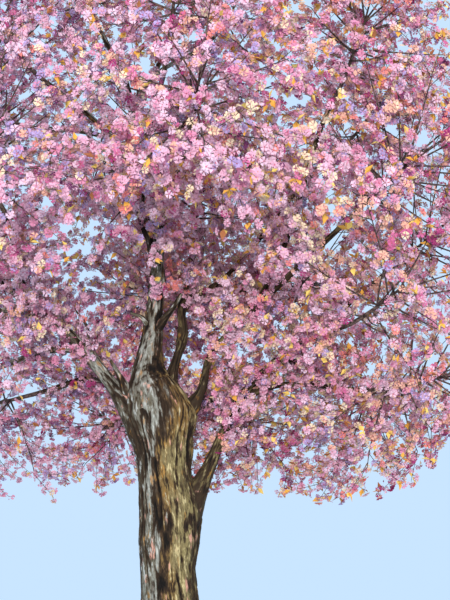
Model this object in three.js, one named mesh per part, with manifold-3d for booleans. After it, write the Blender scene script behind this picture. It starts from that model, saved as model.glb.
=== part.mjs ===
// A flowering cherry tree in full bloom, as it stands rooted in the ground: the trunk with its root flare
// and fork, the boughs, and the masses of blossom that the boughs carry. Lengths are in millimetres and +Z
// is up. The origin is the middle of the flat cut at ground level, and the front of the tree faces -Y.

import * as THREE from "three";
import { mergeVertices } from "three/addons/utils/BufferGeometryUtils.js";
import Module from "manifold-3d";

const wasm = await Module();
wasm.setup();

// Driving sizes of the crown.
const TREE_HEIGHT = 8900;
const CROWN_HALF_WIDTH = 3800;
const CROWN_HALF_DEPTH = 3700;
const CROWN_WAIST = 4400; // height of the widest level
const CROWN_FOOT = 1550; // height at which the round outline would close, had the crown no flat underside
const CROWN_MIDDLE = new THREE.Vector3(0, 0, CROWN_WAIST);
const UNDERSIDE = 2000; // clear height under the two sides of the crown
const UNDERSIDE_RISE_BACK = 350;
const UNDERSIDE_RISE_FRONT = 2100; // the front is open, so the fork shows under it

// The rings of masses round the tree: height of their middles, and distance from the trunk's line.
const TIERS = {
  low: { height: 3200, out: 2600 },
  lowFront: { height: 3700, out: 2700 },
  mid: { height: 4900, out: 2750 },
  midFront: { height: 5200, out: 2750 },
  inner: { height: 5600, out: 900 },
  upper: { height: 6500, out: 2300 },
  top: { height: 7900, out: 1150 },
};

// Each mass has a tier and a bearing in degrees: 0 is to the right of the front view and 90 is the back.
// Its bough has the same name. A side bough leaves the bough that it names, at that share of its length.
const MASSES = [
  { name: "mid_left", tier: "mid", bearing: 190 },
  { name: "top_left", tier: "top", bearing: 180 },
  { name: "mid_right_back", tier: "mid", bearing: 55 },
  { name: "mid_right_front", tier: "mid", bearing: 321 },
  { name: "mid_right", tier: "mid", bearing: 8 },
  { name: "low_left_back", tier: "low", bearing: 150 },
  { name: "low_back_right", tier: "low", bearing: 70 },
  { name: "low_right", tier: "low", bearing: 350, from: "mid_right", at: 0.42 },
  { name: "low_right_back", tier: "low", bearing: 30, from: "mid_right", at: 0.58 },
  { name: "low_right_front", tier: "lowFront", bearing: 318, from: "mid_right", at: 0.5 },
  { name: "low_back_left", tier: "low", bearing: 110, from: "low_back_right", at: 0.5 },
  { name: "low_left", tier: "low", bearing: 190, from: "mid_left", at: 0.36 },
  { name: "low_left_front", tier: "lowFront", bearing: 224, from: "mid_left", at: 0.5 },
  { name: "mid_left_back", tier: "mid", bearing: 145, from: "low_left_back", at: 0.45 },
  { name: "mid_left_front", tier: "mid", bearing: 234, from: "mid_left", at: 0.62 },
  { name: "mid_back", tier: "mid", bearing: 100, from: "mid_right_back", at: 0.42 },
  { name: "mid_front", tier: "midFront", bearing: 276, from: "top_left", at: 0.3 },
  { name: "inner_back", tier: "inner", bearing: 75, from: "mid_right_back", at: 0.28 },
  { name: "inner_front", tier: "inner", bearing: 250, from: "top_left", at: 0.38 },
  { name: "upper_right", tier: "upper", bearing: 15, from: "mid_right_back", at: 0.55 },
  { name: "upper_right_back", tier: "upper", bearing: 66, from: "top_left", at: 0.5 },
  { name: "upper_left_back", tier: "upper", bearing: 118, from: "top_left", at: 0.53 },
  { name: "upper_left", tier: "upper", bearing: 169, from: "top_left", at: 0.63 },
  { name: "upper_left_front", tier: "upper", bearing: 221, from: "top_left", at: 0.58 },
  { name: "upper_front", tier: "upper", bearing: 272, from: "top_left", at: 0.46 },
  { name: "upper_right_front", tier: "upper", bearing: 324, from: "mid_right_front", at: 0.5 },
  { name: "top_right_back", tier: "top", bearing: 60, from: "top_left", at: 0.75 },
  { name: "top_right_front", tier: "top", bearing: 300, from: "top_left", at: 0.68 },
];

// The main boughs leave the trunk. Each goes through these points, the first inside the trunk, and on to
// its mass. base, shaft and tip are radii: at the root with its collar, at the root without it, and at the
// far end.
const MAIN_BOUGHS = {
  mid_left: {
    through: [[-270, -10, 2800], [-503, -20, 3060], [-783, -50, 3405], [-1040, -100, 3690]],
    base: 118, shaft: 70, tip: 28,
  },
  top_left: {
    through: [[-170, 0, 2950], [-262, 0, 3300], [-214, 0, 3921], [-192, 0, 4525], [-427, 0, 5325],
      [-515, 0, 6400]],
    base: 240, shaft: 68, tip: 26,
  },
  mid_right_back: {
    through: [[-60, 40, 2850], [-15, 100, 3373], [83, 190, 3750], [145, 400, 4262]],
    base: 70, shaft: 42, tip: 26,
  },
  mid_right_front: {
    through: [[20, -10, 2750], [267, -60, 3114], [380, -140, 3495], [700, -400, 3800]],
    base: 64, shaft: 39, tip: 26,
  },
  mid_right: {
    through: [[40, 0, 1720], [321, 0, 2276], [560, 0, 2849], [868, 50, 3310]],
    base: 112, shaft: 53, tip: 28,
  },
  low_left_back: {
    through: [[-150, 80, 2700], [-350, 450, 3150], [-900, 850, 3450]],
    base: 96, shaft: 64, tip: 28,
  },
  low_back_right: {
    through: [[0, 80, 2550], [150, 480, 3000], [450, 1100, 3300]],
    base: 96, shaft: 64, tip: 28,
  },
};
const MAIN_BOUGH_FACES = { sides: 7, rings: 8 };

// The side boughs. Their radii are shares of their parent's where they leave it, but for the tip. Their
// course is set by shares of their span: how far they leave along the parent and outwards, and how they
// come to their mass.
const SIDE_BOUGH_BASE = 0.86;
const SIDE_BOUGH_SHAFT = 0.68;
const SIDE_BOUGH_TIP = 25;
const SIDE_BOUGH_FACES = { sides: 5, rings: 4 };
const LEAVE_ALONG = 0.3;
const LEAVE_OUT = 0.12;
const ARRIVE_ALONG = 0.3;
const ARRIVE_FROM_ABOVE = 0.08;
const COLLAR_FALL = 6; // how fast a bough's collar falls away from its root
const BOUGH_STOPS_SHORT = 820; // from a bough's tip to the middle of its mass

// The trunk's outline: height, sideways shift of the middle, half width and half depth. It leans a little
// to the left, narrows above the root flare and widens again to the fork.
const TRUNK = [
  [0, 0, 455, 440],
  [90, 0, 415, 400],
  [220, 0, 362, 350],
  [420, -1, 322, 315],
  [700, -5, 296, 292],
  [1100, -12, 277, 275],
  [1400, -34, 266, 268],
  [1650, -40, 276, 270],
  [1900, -47, 270, 262],
  [2290, -88, 246, 250],
  [2620, -105, 268, 256],
  [2800, -118, 292, 262],
  [2950, -135, 304, 254],
  [3070, -165, 262, 224],
  [3160, -185, 208, 188],
  [3235, -200, 135, 125],
  [3265, -205, 65, 60],
];
const TRUNK_SIDES = 24;
const ROOTS = 5; // buttresses that the flare runs out in
const ROOT_SWELL = 0.16;
const ROOT_HEIGHT = 330;
const FLUTE_DEPTH = 0.035;

// Stems, twigs and sprays of blossom. Each spray stands for the many flowers along one shoot.
const STEM_TIP = 20;
const STEM_PAST_MIDDLE = 160; // how far a stem runs on past the middle of its mass
const STEM_FACES = { sides: 5, rings: 3 };
const TWIGS_PER_MASS = 5;
const TWIG_BASE = 15;
const TWIG_TIP = 10;
const TWIG_FACES = { sides: 3, rings: 2 };
const TWIG_REACHES = [1, 0.9, 0.8, 0.7]; // shares of the room in a twig's direction, tried in turn
const INNER_SIDE_LEFT_BARE = 0.35; // share of a mass's inner half that no twig is sent to
const LONGEST_REACH = 1400; // from the middle of a mass to its furthest tip
const REACH_STEP = 20;
const SPRAY_LENGTH = 740;
const SPRAY_WIDTH = 580;
const SPRAY_THICKNESS = 280;
const END_SPRAY_SIZES = [1, 0.82]; // the second where the first doesn't fit
const SIDE_SPRAY_SIZES = [0.92, 0.76];
const SIDE_SPRAYS = [0.4, 0.7, 0.95]; // where they stand along a twig
const SIDE_SPRAY_CHOICES = 24;
const SIDE_SPRAY_LEAN = [0.2, 1]; // least and most that they lean along the twig
const SPRAY_SEAT = 0.22; // share of an end spray that lies behind the twig's tip
const SPRAY_SPACING = 370; // between the middles of two sprays in a mass

const SEAT_GAP = 0.3; // between two pieces that meet
const SPACE_MARGIN = 5; // between a mass and the edge of its own space
const LIMB_MARGIN = 8;
const SLANT = 1.8; // how much wider a margin has to be along a spray's axes than square to its faces
const GOLDEN_ANGLE = Math.PI * (3 - Math.sqrt(5));

const BARK = { color: 0x6e6350, roughness: 0.95, metalness: 0 };
const BLOSSOM_COLOURS = [0xc98fa2, 0xd9a3ae, 0xb8768f, 0xd4a08f];

// A small seeded generator of numbers from 0 to 1, so that the tree is the same each time.
function seeded(seed) {
  let state = seed >>> 0;
  return () => {
    state = (state + 0x6d2b79f5) >>> 0;
    let t = Math.imul(state ^ (state >>> 15), state | 1);
    t ^= t + Math.imul(t ^ (t >>> 7), t | 61);
    return ((t ^ (t >>> 14)) >>> 0) / 4294967296;
  };
}

function solidOf(geometry) {
  const bare = geometry.clone();
  bare.deleteAttribute("normal");
  bare.deleteAttribute("uv");
  const merged = mergeVertices(bare, 1e-3);
  return new wasm.Manifold(
    new wasm.Mesh({
      numProp: 3,
      vertProperties: merged.attributes.position.array,
      triVerts: new Uint32Array(merged.index.array),
    }),
  );
}

function geometryOf(solid) {
  const mesh = solid.getMesh();
  const geometry = new THREE.BufferGeometry();
  geometry.setAttribute("position", new THREE.BufferAttribute(new Float32Array(mesh.vertProperties), 3));
  geometry.setIndex(new THREE.BufferAttribute(new Uint32Array(mesh.triVerts), 1));
  geometry.computeVertexNormals();
  return geometry;
}

// The largest body of a solid. Loose scraps are dropped, and a hollow that fusing has sealed is filled.
function mainBody(solid) {
  return solid.decompose().reduce((best, body) => (body.volume() > best.volume() ? body : best));
}

// A capped cylinder of unit radius, whose vertices are put in place by ring number, angle and share of the
// radius.
function carriedCylinder(sides, rings, place) {
  const geometry = new THREE.CylinderGeometry(1, 1, 1, sides, rings);
  const positions = geometry.attributes.position;
  for (let i = 0; i < positions.count; i++) {
    const [x, y, z] = [positions.getX(i), positions.getY(i), positions.getZ(i)];
    const point = place(Math.round((y + 0.5) * rings), Math.atan2(-z, x), Math.hypot(x, z));
    positions.setXYZ(i, point.x, point.y, point.z);
  }
  return geometry;
}

// A limb runs straight from ring to ring of a curve, and has a radius at each ring.
function makeLimb(curve, radiusAt, faces) {
  const middles = curve.getSpacedPoints(faces.rings);
  return { curve, middles, radii: middles.map((_, i) => radiusAt(i / faces.rings)), ...faces };
}

// The point, radius and heading at a share of a limb's length.
function alongLimb({ middles, radii, rings }, share) {
  const i = Math.min(Math.floor(share * rings), rings - 1);
  const part = share * rings - i;
  return {
    point: middles[i].clone().lerp(middles[i + 1], part),
    radius: THREE.MathUtils.lerp(radii[i], radii[i + 1], part),
    heading: middles[i + 1].clone().sub(middles[i]).normalize(),
  };
}

// Balls that fill a limb, for testing what comes near it.
function ballsIn(limb, spacing = 50) {
  const steps = Math.ceil(limb.curve.getLength() / spacing);
  return Array.from({ length: steps + 1 }, (_, i) => alongLimb(limb, i / steps));
}

// A limb's solid is round, with flat ends square to its curve. A grown one is larger all over by that much.
function limbSolid({ curve, middles, radii, sides, rings }, grown = 0) {
  const frames = curve.computeFrenetFrames(rings);
  const geometry = carriedCylinder(sides, rings, (ring, angle, share) => {
    const radius = share * (radii[ring] + grown);
    const pastEnd = ring === 0 ? -grown : ring === rings ? grown : 0;
    return middles[ring]
      .clone()
      .addScaledVector(frames.tangents[ring], pastEnd)
      .addScaledVector(frames.normals[ring], radius * Math.cos(angle))
      .addScaledVector(frames.binormals[ring], radius * Math.sin(angle));
  });
  return solidOf(geometry);
}

// The trunk's radius swells into root buttresses near the ground, and is broadly fluted higher up.
function trunkSolid(grown = 0) {
  const geometry = carriedCylinder(TRUNK_SIDES, TRUNK.length - 1, (ring, angle, share) => {
    const [height, shift, halfWidth, halfDepth] = TRUNK[ring];
    const roots = ROOT_SWELL * Math.exp(-height / ROOT_HEIGHT) * Math.cos(ROOTS * angle + 0.6);
    const flutes = FLUTE_DEPTH * Math.cos(3 * angle + 0.9 + height / 1400);
    const swell = share * (1 + roots + flutes);
    return new THREE.Vector3(
      shift + (halfWidth + grown) * swell * Math.cos(angle),
      (halfDepth + grown) * swell * Math.sin(angle),
      height + (height > 0 ? grown : 0),
    );
  });
  return solidOf(geometry);
}

function massCentre({ tier, bearing }) {
  const angle = THREE.MathUtils.degToRad(bearing);
  const { height, out } = TIERS[tier];
  return new THREE.Vector3(out * Math.cos(angle), out * Math.sin(angle), height);
}
const CENTRES = MASSES.map(massCentre);

// A bough tapers evenly from its root to its tip, with a collar at its root.
function makeBough(curve, { base, shaft, tip }, faces) {
  const radiusAt = (u) => tip + (shaft - tip) * (1 - u) + (base - shaft) * (1 - u) ** COLLAR_FALL;
  return makeLimb(curve, radiusAt, faces);
}

function mainBough(name, centre) {
  const sizes = MAIN_BOUGHS[name];
  const points = sizes.through.map((p) => new THREE.Vector3(...p));
  const last = points[points.length - 1];
  const onwards = centre.clone().sub(last).normalize();
  points.push(centre.clone().addScaledVector(onwards, -BOUGH_STOPS_SHORT));
  const curve = new THREE.CatmullRomCurve3(points, false, "catmullrom", 0.5);
  return makeBough(curve, sizes, MAIN_BOUGH_FACES);
}

// A side bough leaves the middle of its parent, first partly along it, and comes to its mass from the
// tree's middle.
function sideBough(parent, at, centre) {
  const { point: start, radius, heading } = alongLimb(parent, at);
  const outwards = centre.clone().sub(start).normalize();
  const end = centre.clone().addScaledVector(outwards, -BOUGH_STOPS_SHORT);
  const span = end.distanceTo(start);
  const leave = start.clone().addScaledVector(heading, LEAVE_ALONG * span);
  leave.addScaledVector(outwards, LEAVE_OUT * span);
  const arrive = end.clone().addScaledVector(outwards, -ARRIVE_ALONG * span);
  arrive.z += ARRIVE_FROM_ABOVE * span;
  const curve = new THREE.CubicBezierCurve3(start, leave, arrive, end);
  const sizes = { base: SIDE_BOUGH_BASE * radius, shaft: SIDE_BOUGH_SHAFT * radius, tip: SIDE_BOUGH_TIP };
  return makeBough(curve, sizes, SIDE_BOUGH_FACES);
}

const BOUGHS = new Map();
MASSES.forEach(({ name, from, at }, k) => {
  BOUGHS.set(name, from ? sideBough(BOUGHS.get(from), at, CENTRES[k]) : mainBough(name, CENTRES[k]));
});

// The limbs as balls, for keeping twigs and sprays clear of them.
const TRUNK_BALLS = TRUNK.filter(([height]) => height > 1800).map(([height, shift, halfWidth]) => ({
  point: new THREE.Vector3(shift, 0, height),
  radius: halfWidth,
}));
const LIMB_BALLS = [...TRUNK_BALLS, ...[...BOUGHS.values()].flatMap((bough) => ballsIn(bough))];

// Whether a point is inside the crown: within a round outline, and above an underside that rises to back
// and front.
function inCrown({ x, y, z }) {
  const depth = z > CROWN_WAIST ? TREE_HEIGHT - CROWN_WAIST : CROWN_WAIST - CROWN_FOOT;
  const outwards = Math.hypot(x / CROWN_HALF_WIDTH, y / CROWN_HALF_DEPTH, (z - CROWN_WAIST) / depth);
  const rise = y > 0 ? UNDERSIDE_RISE_BACK : UNDERSIDE_RISE_FRONT;
  return outwards < 1 && z > UNDERSIDE + (rise * y * y) / (x * x + y * y + 1);
}

// A mass keeps to the part of the crown that is nearer its own middle than any other's.
function inSpace(point, k) {
  if (!inCrown(point)) return false;
  const own = point.distanceToSquared(CENTRES[k]);
  return CENTRES.every((other, j) => {
    if (j === k) return true;
    const toEdge = (point.distanceToSquared(other) - own) / (2 * other.distanceTo(CENTRES[k]));
    return toEdge > SPACE_MARGIN;
  });
}

// Directions spread evenly by the golden angle, from straight out of the crown round to the mass's inner
// side.
function spreadDirection(k, i, turn) {
  const outwards = CENTRES[k].clone().sub(CROWN_MIDDLE).normalize();
  const across = new THREE.Vector3(0, 0, 1).cross(outwards).normalize();
  const over = new THREE.Vector3().crossVectors(outwards, across);
  const out = 1 - (2 - INNER_SIDE_LEFT_BARE) * ((i + 0.25) / TWIGS_PER_MASS);
  const level = Math.sqrt(1 - out * out);
  const angle = GOLDEN_ANGLE * i + turn;
  return outwards
    .multiplyScalar(out)
    .addScaledVector(across, level * Math.cos(angle))
    .addScaledVector(over, level * Math.sin(angle));
}

// How far a mass's own space goes on from its middle in a direction.
function reachOf(k, direction) {
  const inside = (reach) => inSpace(CENTRES[k].clone().addScaledVector(direction, reach), k);
  let reach = 0;
  while (reach < LONGEST_REACH && inside(reach + REACH_STEP)) reach += REACH_STEP;
  return reach;
}

// A spray has eight faces: a root, a tip, two edges and two flat sides, which face out of the crown.
function makeSpray(root, along, size) {
  const half = new THREE.Vector3(SPRAY_LENGTH, SPRAY_WIDTH, SPRAY_THICKNESS).multiplyScalar(0.5 * size);
  const middle = root.clone().addScaledVector(along, half.x);
  const outwards = middle.clone().sub(CROWN_MIDDLE);
  const side = new THREE.Vector3().crossVectors(outwards, along).normalize();
  const flat = new THREE.Vector3().crossVectors(along, side);
  return { root, middle, half, axes: [along, side, flat] };
}

function sprayCorners({ middle, half, axes }) {
  return axes.flatMap((axis, i) => {
    const arm = axis.clone().multiplyScalar(half.getComponent(i));
    return [middle.clone().add(arm), middle.clone().sub(arm)];
  });
}

function spraySolid({ middle, half, axes }) {
  const geometry = new THREE.OctahedronGeometry(1, 0);
  geometry.scale(half.x, half.y, half.z);
  geometry.applyMatrix4(new THREE.Matrix4().makeBasis(...axes).setPosition(middle));
  return solidOf(geometry);
}

// A point lies in a spray where its distances along the three axes, as shares of the half sizes, add up to
// less than 1. The half sizes are grown for a ball, by more than its radius because the faces slant.
function sprayMeets({ middle, half, axes }, { point, radius }) {
  const offset = point.clone().sub(middle);
  const grown = SLANT * (radius + LIMB_MARGIN);
  const shares = axes.map((axis, i) => Math.abs(offset.dot(axis)) / (half.getComponent(i) + grown));
  return shares[0] + shares[1] + shares[2] < 1;
}

// Every spray so far, so that the masses leave no wide gaps between them.
const ALL_SPRAYS = [];

// A mass as it grows: its number, the limbs near it, and the twigs and sprays that it has so far.
function startMass(k) {
  const near = LIMB_BALLS.filter(({ point }) => point.distanceTo(CENTRES[k]) < 1.5 * LONGEST_REACH);
  return { k, near, twigs: [], sprays: [] };
}

function sprayFits(mass, spray, ownTwig) {
  return (
    sprayCorners(spray).every((corner) => inSpace(corner, mass.k)) &&
    mass.sprays.every((other) => other.middle.distanceTo(spray.middle) > SPRAY_SPACING) &&
    !mass.near.some((ball) => sprayMeets(spray, ball)) &&
    !mass.twigs.some((twig) => twig !== ownTwig && twig.balls.some((ball) => sprayMeets(spray, ball)))
  );
}

function twigFits(mass, balls) {
  const clear = (limb, ball) => limb.point.distanceTo(ball.point) > limb.radius + ball.radius + LIMB_MARGIN;
  return balls.every(
    (ball) =>
      inSpace(ball.point, mass.k) &&
      mass.near.every((limb) => clear(limb, ball)) &&
      !mass.sprays.some((spray) => sprayMeets(spray, ball)),
  );
}

// The stem of a mass goes on from its bough's tip, through the middle of the mass.
function stemOf(k) {
  const bough = BOUGHS.get(MASSES[k].name);
  const heading = bough.curve.getTangentAt(1);
  const start = bough.curve.getPointAt(1).addScaledVector(heading, SEAT_GAP);
  const onwards = CENTRES[k].clone().sub(start).normalize();
  const curve = new THREE.CubicBezierCurve3(
    start,
    start.clone().addScaledVector(heading, 0.4 * BOUGH_STOPS_SHORT),
    CENTRES[k].clone().addScaledVector(onwards, -0.5 * STEM_PAST_MIDDLE),
    CENTRES[k].clone().addScaledVector(onwards, STEM_PAST_MIDDLE),
  );
  const base = bough.radii[bough.rings];
  return { ...makeLimb(curve, (u) => base + (STEM_TIP - base) * u, STEM_FACES), onwards };
}

// Of some sprays that fit a mass, the one that stands furthest from all other sprays of the tree is added.
function addMostOpen(mass, sprays, twig) {
  let best = { open: 0 };
  for (const spray of sprays) {
    if (!sprayFits(mass, spray, twig)) continue;
    const gaps = ALL_SPRAYS.map((other) => other.middle.distanceTo(spray.middle));
    const open = Math.min(LONGEST_REACH, ...gaps);
    if (open > best.open) best = { open, spray };
  }
  if (!best.spray) return false;
  mass.sprays.push(best.spray);
  ALL_SPRAYS.push(best.spray);
  return true;
}

// A twig bends out from the stem towards one direction, as far as the mass's space lets it and its end
// spray go. It leaves the stem the nearer to the stem's tip, the more it is headed that way.
function growTwig(mass, stem, i, turn) {
  const direction = spreadDirection(mass.k, i, turn);
  const start = alongLimb(stem, 0.3 + 0.65 * (0.5 + 0.5 * direction.dot(stem.onwards))).point;
  const reach = reachOf(mass.k, direction);
  for (const share of TWIG_REACHES)
    for (const size of END_SPRAY_SIZES) {
      const length = size * SPRAY_LENGTH;
      const root = CENTRES[mass.k].clone().addScaledVector(direction, share * reach - length);
      const tip = root.clone().addScaledVector(direction, SPRAY_SEAT * length);
      const bend = root.clone().lerp(start, 0.5).addScaledVector(direction, 0.1 * reach);
      const curve = new THREE.QuadraticBezierCurve3(start, bend, tip);
      const limb = makeLimb(curve, (u) => TWIG_BASE + (TWIG_TIP - TWIG_BASE) * u, TWIG_FACES);
      const twig = { limb, balls: ballsIn(limb) };
      if (!twigFits(mass, twig.balls)) continue;
      if (!addMostOpen(mass, [makeSpray(root, direction, size)], twig)) continue;
      mass.twigs.push(twig);
      return twig;
    }
  return null;
}

// Side sprays stand all round a twig, each turned to where the most room is left.
function growSideSprays(mass, twig) {
  for (const at of SIDE_SPRAYS) {
    const { point: root, heading } = alongLimb(twig.limb, at);
    const across = new THREE.Vector3(0, 0, 1).cross(heading).normalize();
    const over = new THREE.Vector3().crossVectors(heading, across);
    for (const size of SIDE_SPRAY_SIZES) {
      const choices = Array.from({ length: SIDE_SPRAY_CHOICES }, (_, n) => {
        const angle = GOLDEN_ANGLE * n;
        const lean = THREE.MathUtils.lerp(...SIDE_SPRAY_LEAN, n / SIDE_SPRAY_CHOICES);
        const direction = across.clone().multiplyScalar(Math.cos(angle));
        direction.addScaledVector(over, Math.sin(angle)).addScaledVector(heading, lean);
        return makeSpray(root, direction.normalize(), size);
      });
      if (addMostOpen(mass, choices, twig)) break;
    }
  }
}

function massSolid(k) {
  const turn = 2 * Math.PI * seeded(500 + k)();
  const mass = startMass(k);
  const stem = stemOf(k);
  for (let i = 0; i < TWIGS_PER_MASS; i++) {
    const twig = growTwig(mass, stem, i, turn);
    if (twig) growSideSprays(mass, twig);
  }
  const pieces = [
    limbSolid(stem),
    ...mass.twigs.map((twig) => limbSolid(twig.limb)),
    ...mass.sprays.map(spraySolid),
  ];
  return mainBody(pieces.reduce((whole, piece) => whole.add(piece)));
}

const tree = new THREE.Group();
tree.name = "cherry_tree";

function addNode(name, solid, material) {
  const mesh = new THREE.Mesh(geometryOf(solid), new THREE.MeshStandardMaterial(material));
  mesh.name = name;
  tree.add(mesh);
}

addNode("trunk", trunkSolid(), BARK);

// Each bough is cut clear of the trunk and of the boughs before it, by the gap between pieces.
const grownLimbs = [trunkSolid(SEAT_GAP)];
for (const [name, bough] of BOUGHS) {
  const cut = grownLimbs.reduce((left, other) => left.subtract(other), limbSolid(bough));
  addNode("bough_" + name, mainBody(cut), BARK);
  grownLimbs.push(limbSolid(bough, SEAT_GAP));
}

MASSES.forEach(({ name }, k) => {
  const color = BLOSSOM_COLOURS[k % BLOSSOM_COLOURS.length];
  addNode("blossom_" + name, massSolid(k), { color, roughness: 0.8, metalness: 0 });
});

export default tree;
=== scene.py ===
"""A flowering cherry tree in full bloom on its frame: a trunk and boughs with the relief of their bark, and
masses of twigs with flowers, buds and young leaves. Lengths are in metres and +Z is up."""

import math
from types import SimpleNamespace

import bpy
import numpy as np
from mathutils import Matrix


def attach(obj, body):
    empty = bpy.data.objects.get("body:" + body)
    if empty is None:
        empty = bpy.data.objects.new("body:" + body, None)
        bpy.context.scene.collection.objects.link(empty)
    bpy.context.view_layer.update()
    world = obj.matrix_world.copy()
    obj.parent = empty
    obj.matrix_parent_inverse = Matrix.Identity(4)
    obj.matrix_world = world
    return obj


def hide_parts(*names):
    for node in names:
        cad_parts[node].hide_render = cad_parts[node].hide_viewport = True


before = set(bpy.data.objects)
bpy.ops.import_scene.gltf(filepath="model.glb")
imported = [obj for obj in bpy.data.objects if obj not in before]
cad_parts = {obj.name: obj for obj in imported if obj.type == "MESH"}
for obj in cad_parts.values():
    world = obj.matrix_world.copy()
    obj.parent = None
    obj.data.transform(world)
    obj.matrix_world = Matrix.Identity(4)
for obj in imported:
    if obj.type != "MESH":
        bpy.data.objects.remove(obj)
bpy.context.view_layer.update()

# The crown's driving sizes, as the frame has them.
TREE_HEIGHT = 8.9
CROWN_HALF_WIDTH = 3.8
CROWN_HALF_DEPTH = 3.7
CROWN_WAIST = 4.4
CROWN_FOOT = 1.55
CROWN_MIDDLE = np.array([0, 0, CROWN_WAIST])
UNDERSIDE = 2.0
UNDERSIDE_RISE_BACK = 0.35
UNDERSIDE_RISE_FRONT = 2.1

# The rings of masses: height of their middles, distance from the trunk's line, how many twigs a mass has,
# and how far apart the shoots leave a twig.
TIERS = {
    "low": (3.2, 2.6, 23, 0.105),
    "low_front": (3.7, 2.7, 20, 0.12),
    "mid": (4.9, 2.75, 28, 0.11),
    "mid_front": (5.2, 2.75, 20, 0.12),
    "inner": (5.6, 0.9, 18, 0.14),
    "upper": (6.5, 2.3, 21, 0.12),
    "top": (7.9, 1.15, 16, 0.13),
}

# Each mass has a name, a tier, a bearing (0 is to the right, 90 is the back) and, on a side bough, the
# bough that it leaves and at which share of that bough's length.
MASSES = [
    ("mid_left", "mid", 190),
    ("top_left", "top", 180),
    ("mid_right_back", "mid", 55),
    ("mid_right_front", "mid", 321),
    ("mid_right", "mid", 8),
    ("low_left_back", "low", 150),
    ("low_back_right", "low", 70),
    ("low_right", "low", 350, "mid_right", 0.42),
    ("low_right_back", "low", 30, "mid_right", 0.58),
    ("low_right_front", "low_front", 318, "mid_right", 0.5),
    ("low_back_left", "low", 110, "low_back_right", 0.5),
    ("low_left", "low", 190, "mid_left", 0.36),
    ("low_left_front", "low_front", 224, "mid_left", 0.5),
    ("mid_left_back", "mid", 145, "low_left_back", 0.45),
    ("mid_left_front", "mid", 234, "mid_left", 0.62),
    ("mid_back", "mid", 100, "mid_right_back", 0.42),
    ("mid_front", "mid_front", 276, "top_left", 0.3),
    ("inner_back", "inner", 75, "mid_right_back", 0.28),
    ("inner_front", "inner", 250, "top_left", 0.38),
    ("upper_right", "upper", 15, "mid_right_back", 0.55),
    ("upper_right_back", "upper", 66, "top_left", 0.5),
    ("upper_left_back", "upper", 118, "top_left", 0.53),
    ("upper_left", "upper", 169, "top_left", 0.63),
    ("upper_left_front", "upper", 221, "top_left", 0.58),
    ("upper_front", "upper", 272, "top_left", 0.46),
    ("upper_right_front", "upper", 324, "mid_right_front", 0.5),
    ("top_right_back", "top", 60, "top_left", 0.75),
    ("top_right_front", "top", 300, "top_left", 0.68),
]
NAMES = [mass[0] for mass in MASSES]

# The main boughs: points that they go through, and their radii at the root with its collar, at the root
# without it, and at the tip.
MAIN_BOUGHS = {
    "mid_left": (
        [(-0.27, -0.01, 2.8), (-0.503, -0.02, 3.06), (-0.783, -0.05, 3.405), (-1.04, -0.1, 3.69)],
        (0.118, 0.07, 0.028),
    ),
    "top_left": (
        [(-0.17, 0, 2.95), (-0.262, 0, 3.3), (-0.214, 0, 3.921), (-0.192, 0, 4.525), (-0.427, 0, 5.325),
         (-0.515, 0, 6.4)],
        (0.24, 0.068, 0.026),
    ),
    "mid_right_back": (
        [(-0.06, 0.04, 2.85), (-0.015, 0.1, 3.373), (0.083, 0.19, 3.75), (0.145, 0.4, 4.262)],
        (0.07, 0.042, 0.026),
    ),
    "mid_right_front": (
        [(0.02, -0.01, 2.75), (0.267, -0.06, 3.114), (0.38, -0.14, 3.495), (0.7, -0.4, 3.8)],
        (0.064, 0.039, 0.026),
    ),
    "mid_right": (
        [(0.04, 0, 1.72), (0.321, 0, 2.276), (0.56, 0, 2.849), (0.868, 0.05, 3.31)],
        (0.112, 0.053, 0.028),
    ),
    "low_left_back": (
        [(-0.15, 0.08, 2.7), (-0.35, 0.45, 3.15), (-0.9, 0.85, 3.45)],
        (0.096, 0.064, 0.028),
    ),
    "low_back_right": (
        [(0, 0.08, 2.55), (0.15, 0.48, 3.0), (0.45, 1.1, 3.3)],
        (0.096, 0.064, 0.028),
    ),
}
MAIN_BOUGH_RINGS = 8
SIDE_BOUGH_BASE = 0.86
SIDE_BOUGH_SHAFT = 0.68
SIDE_BOUGH_TIP = 0.025
SIDE_BOUGH_RINGS = 4
SIDE_BOUGH_STEPS = 200
LEAVE_ALONG = 0.3
LEAVE_OUT = 0.12
ARRIVE_ALONG = 0.3
ARRIVE_FROM_ABOVE = 0.08
COLLAR_FALL = 6
BOUGH_STOPS_SHORT = 0.82

# The trunk: height, sideways shift of the middle, half width and half depth.
TRUNK = np.array([
    (0, 0, 0.455, 0.44),
    (0.09, 0, 0.415, 0.4),
    (0.22, 0, 0.362, 0.35),
    (0.42, -0.001, 0.322, 0.315),
    (0.7, -0.005, 0.296, 0.292),
    (1.1, -0.012, 0.277, 0.275),
    (1.4, -0.034, 0.266, 0.268),
    (1.65, -0.04, 0.276, 0.27),
    (1.9, -0.047, 0.27, 0.262),
    (2.29, -0.088, 0.246, 0.25),
    (2.62, -0.105, 0.268, 0.256),
    (2.8, -0.118, 0.292, 0.262),
    (2.95, -0.135, 0.304, 0.254),
    (3.07, -0.165, 0.262, 0.224),
    (3.16, -0.185, 0.208, 0.188),
    (3.235, -0.2, 0.135, 0.125),
    (3.265, -0.205, 0.065, 0.06),
])
ROOTS = 5
ROOT_SWELL = 0.16
ROOT_HEIGHT = 0.33
ROOT_TURN = 0.6
FLUTES = 3
FLUTE_DEPTH = 0.035
FLUTE_TURN = 0.9
FLUTE_TWIST = 1.4

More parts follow.
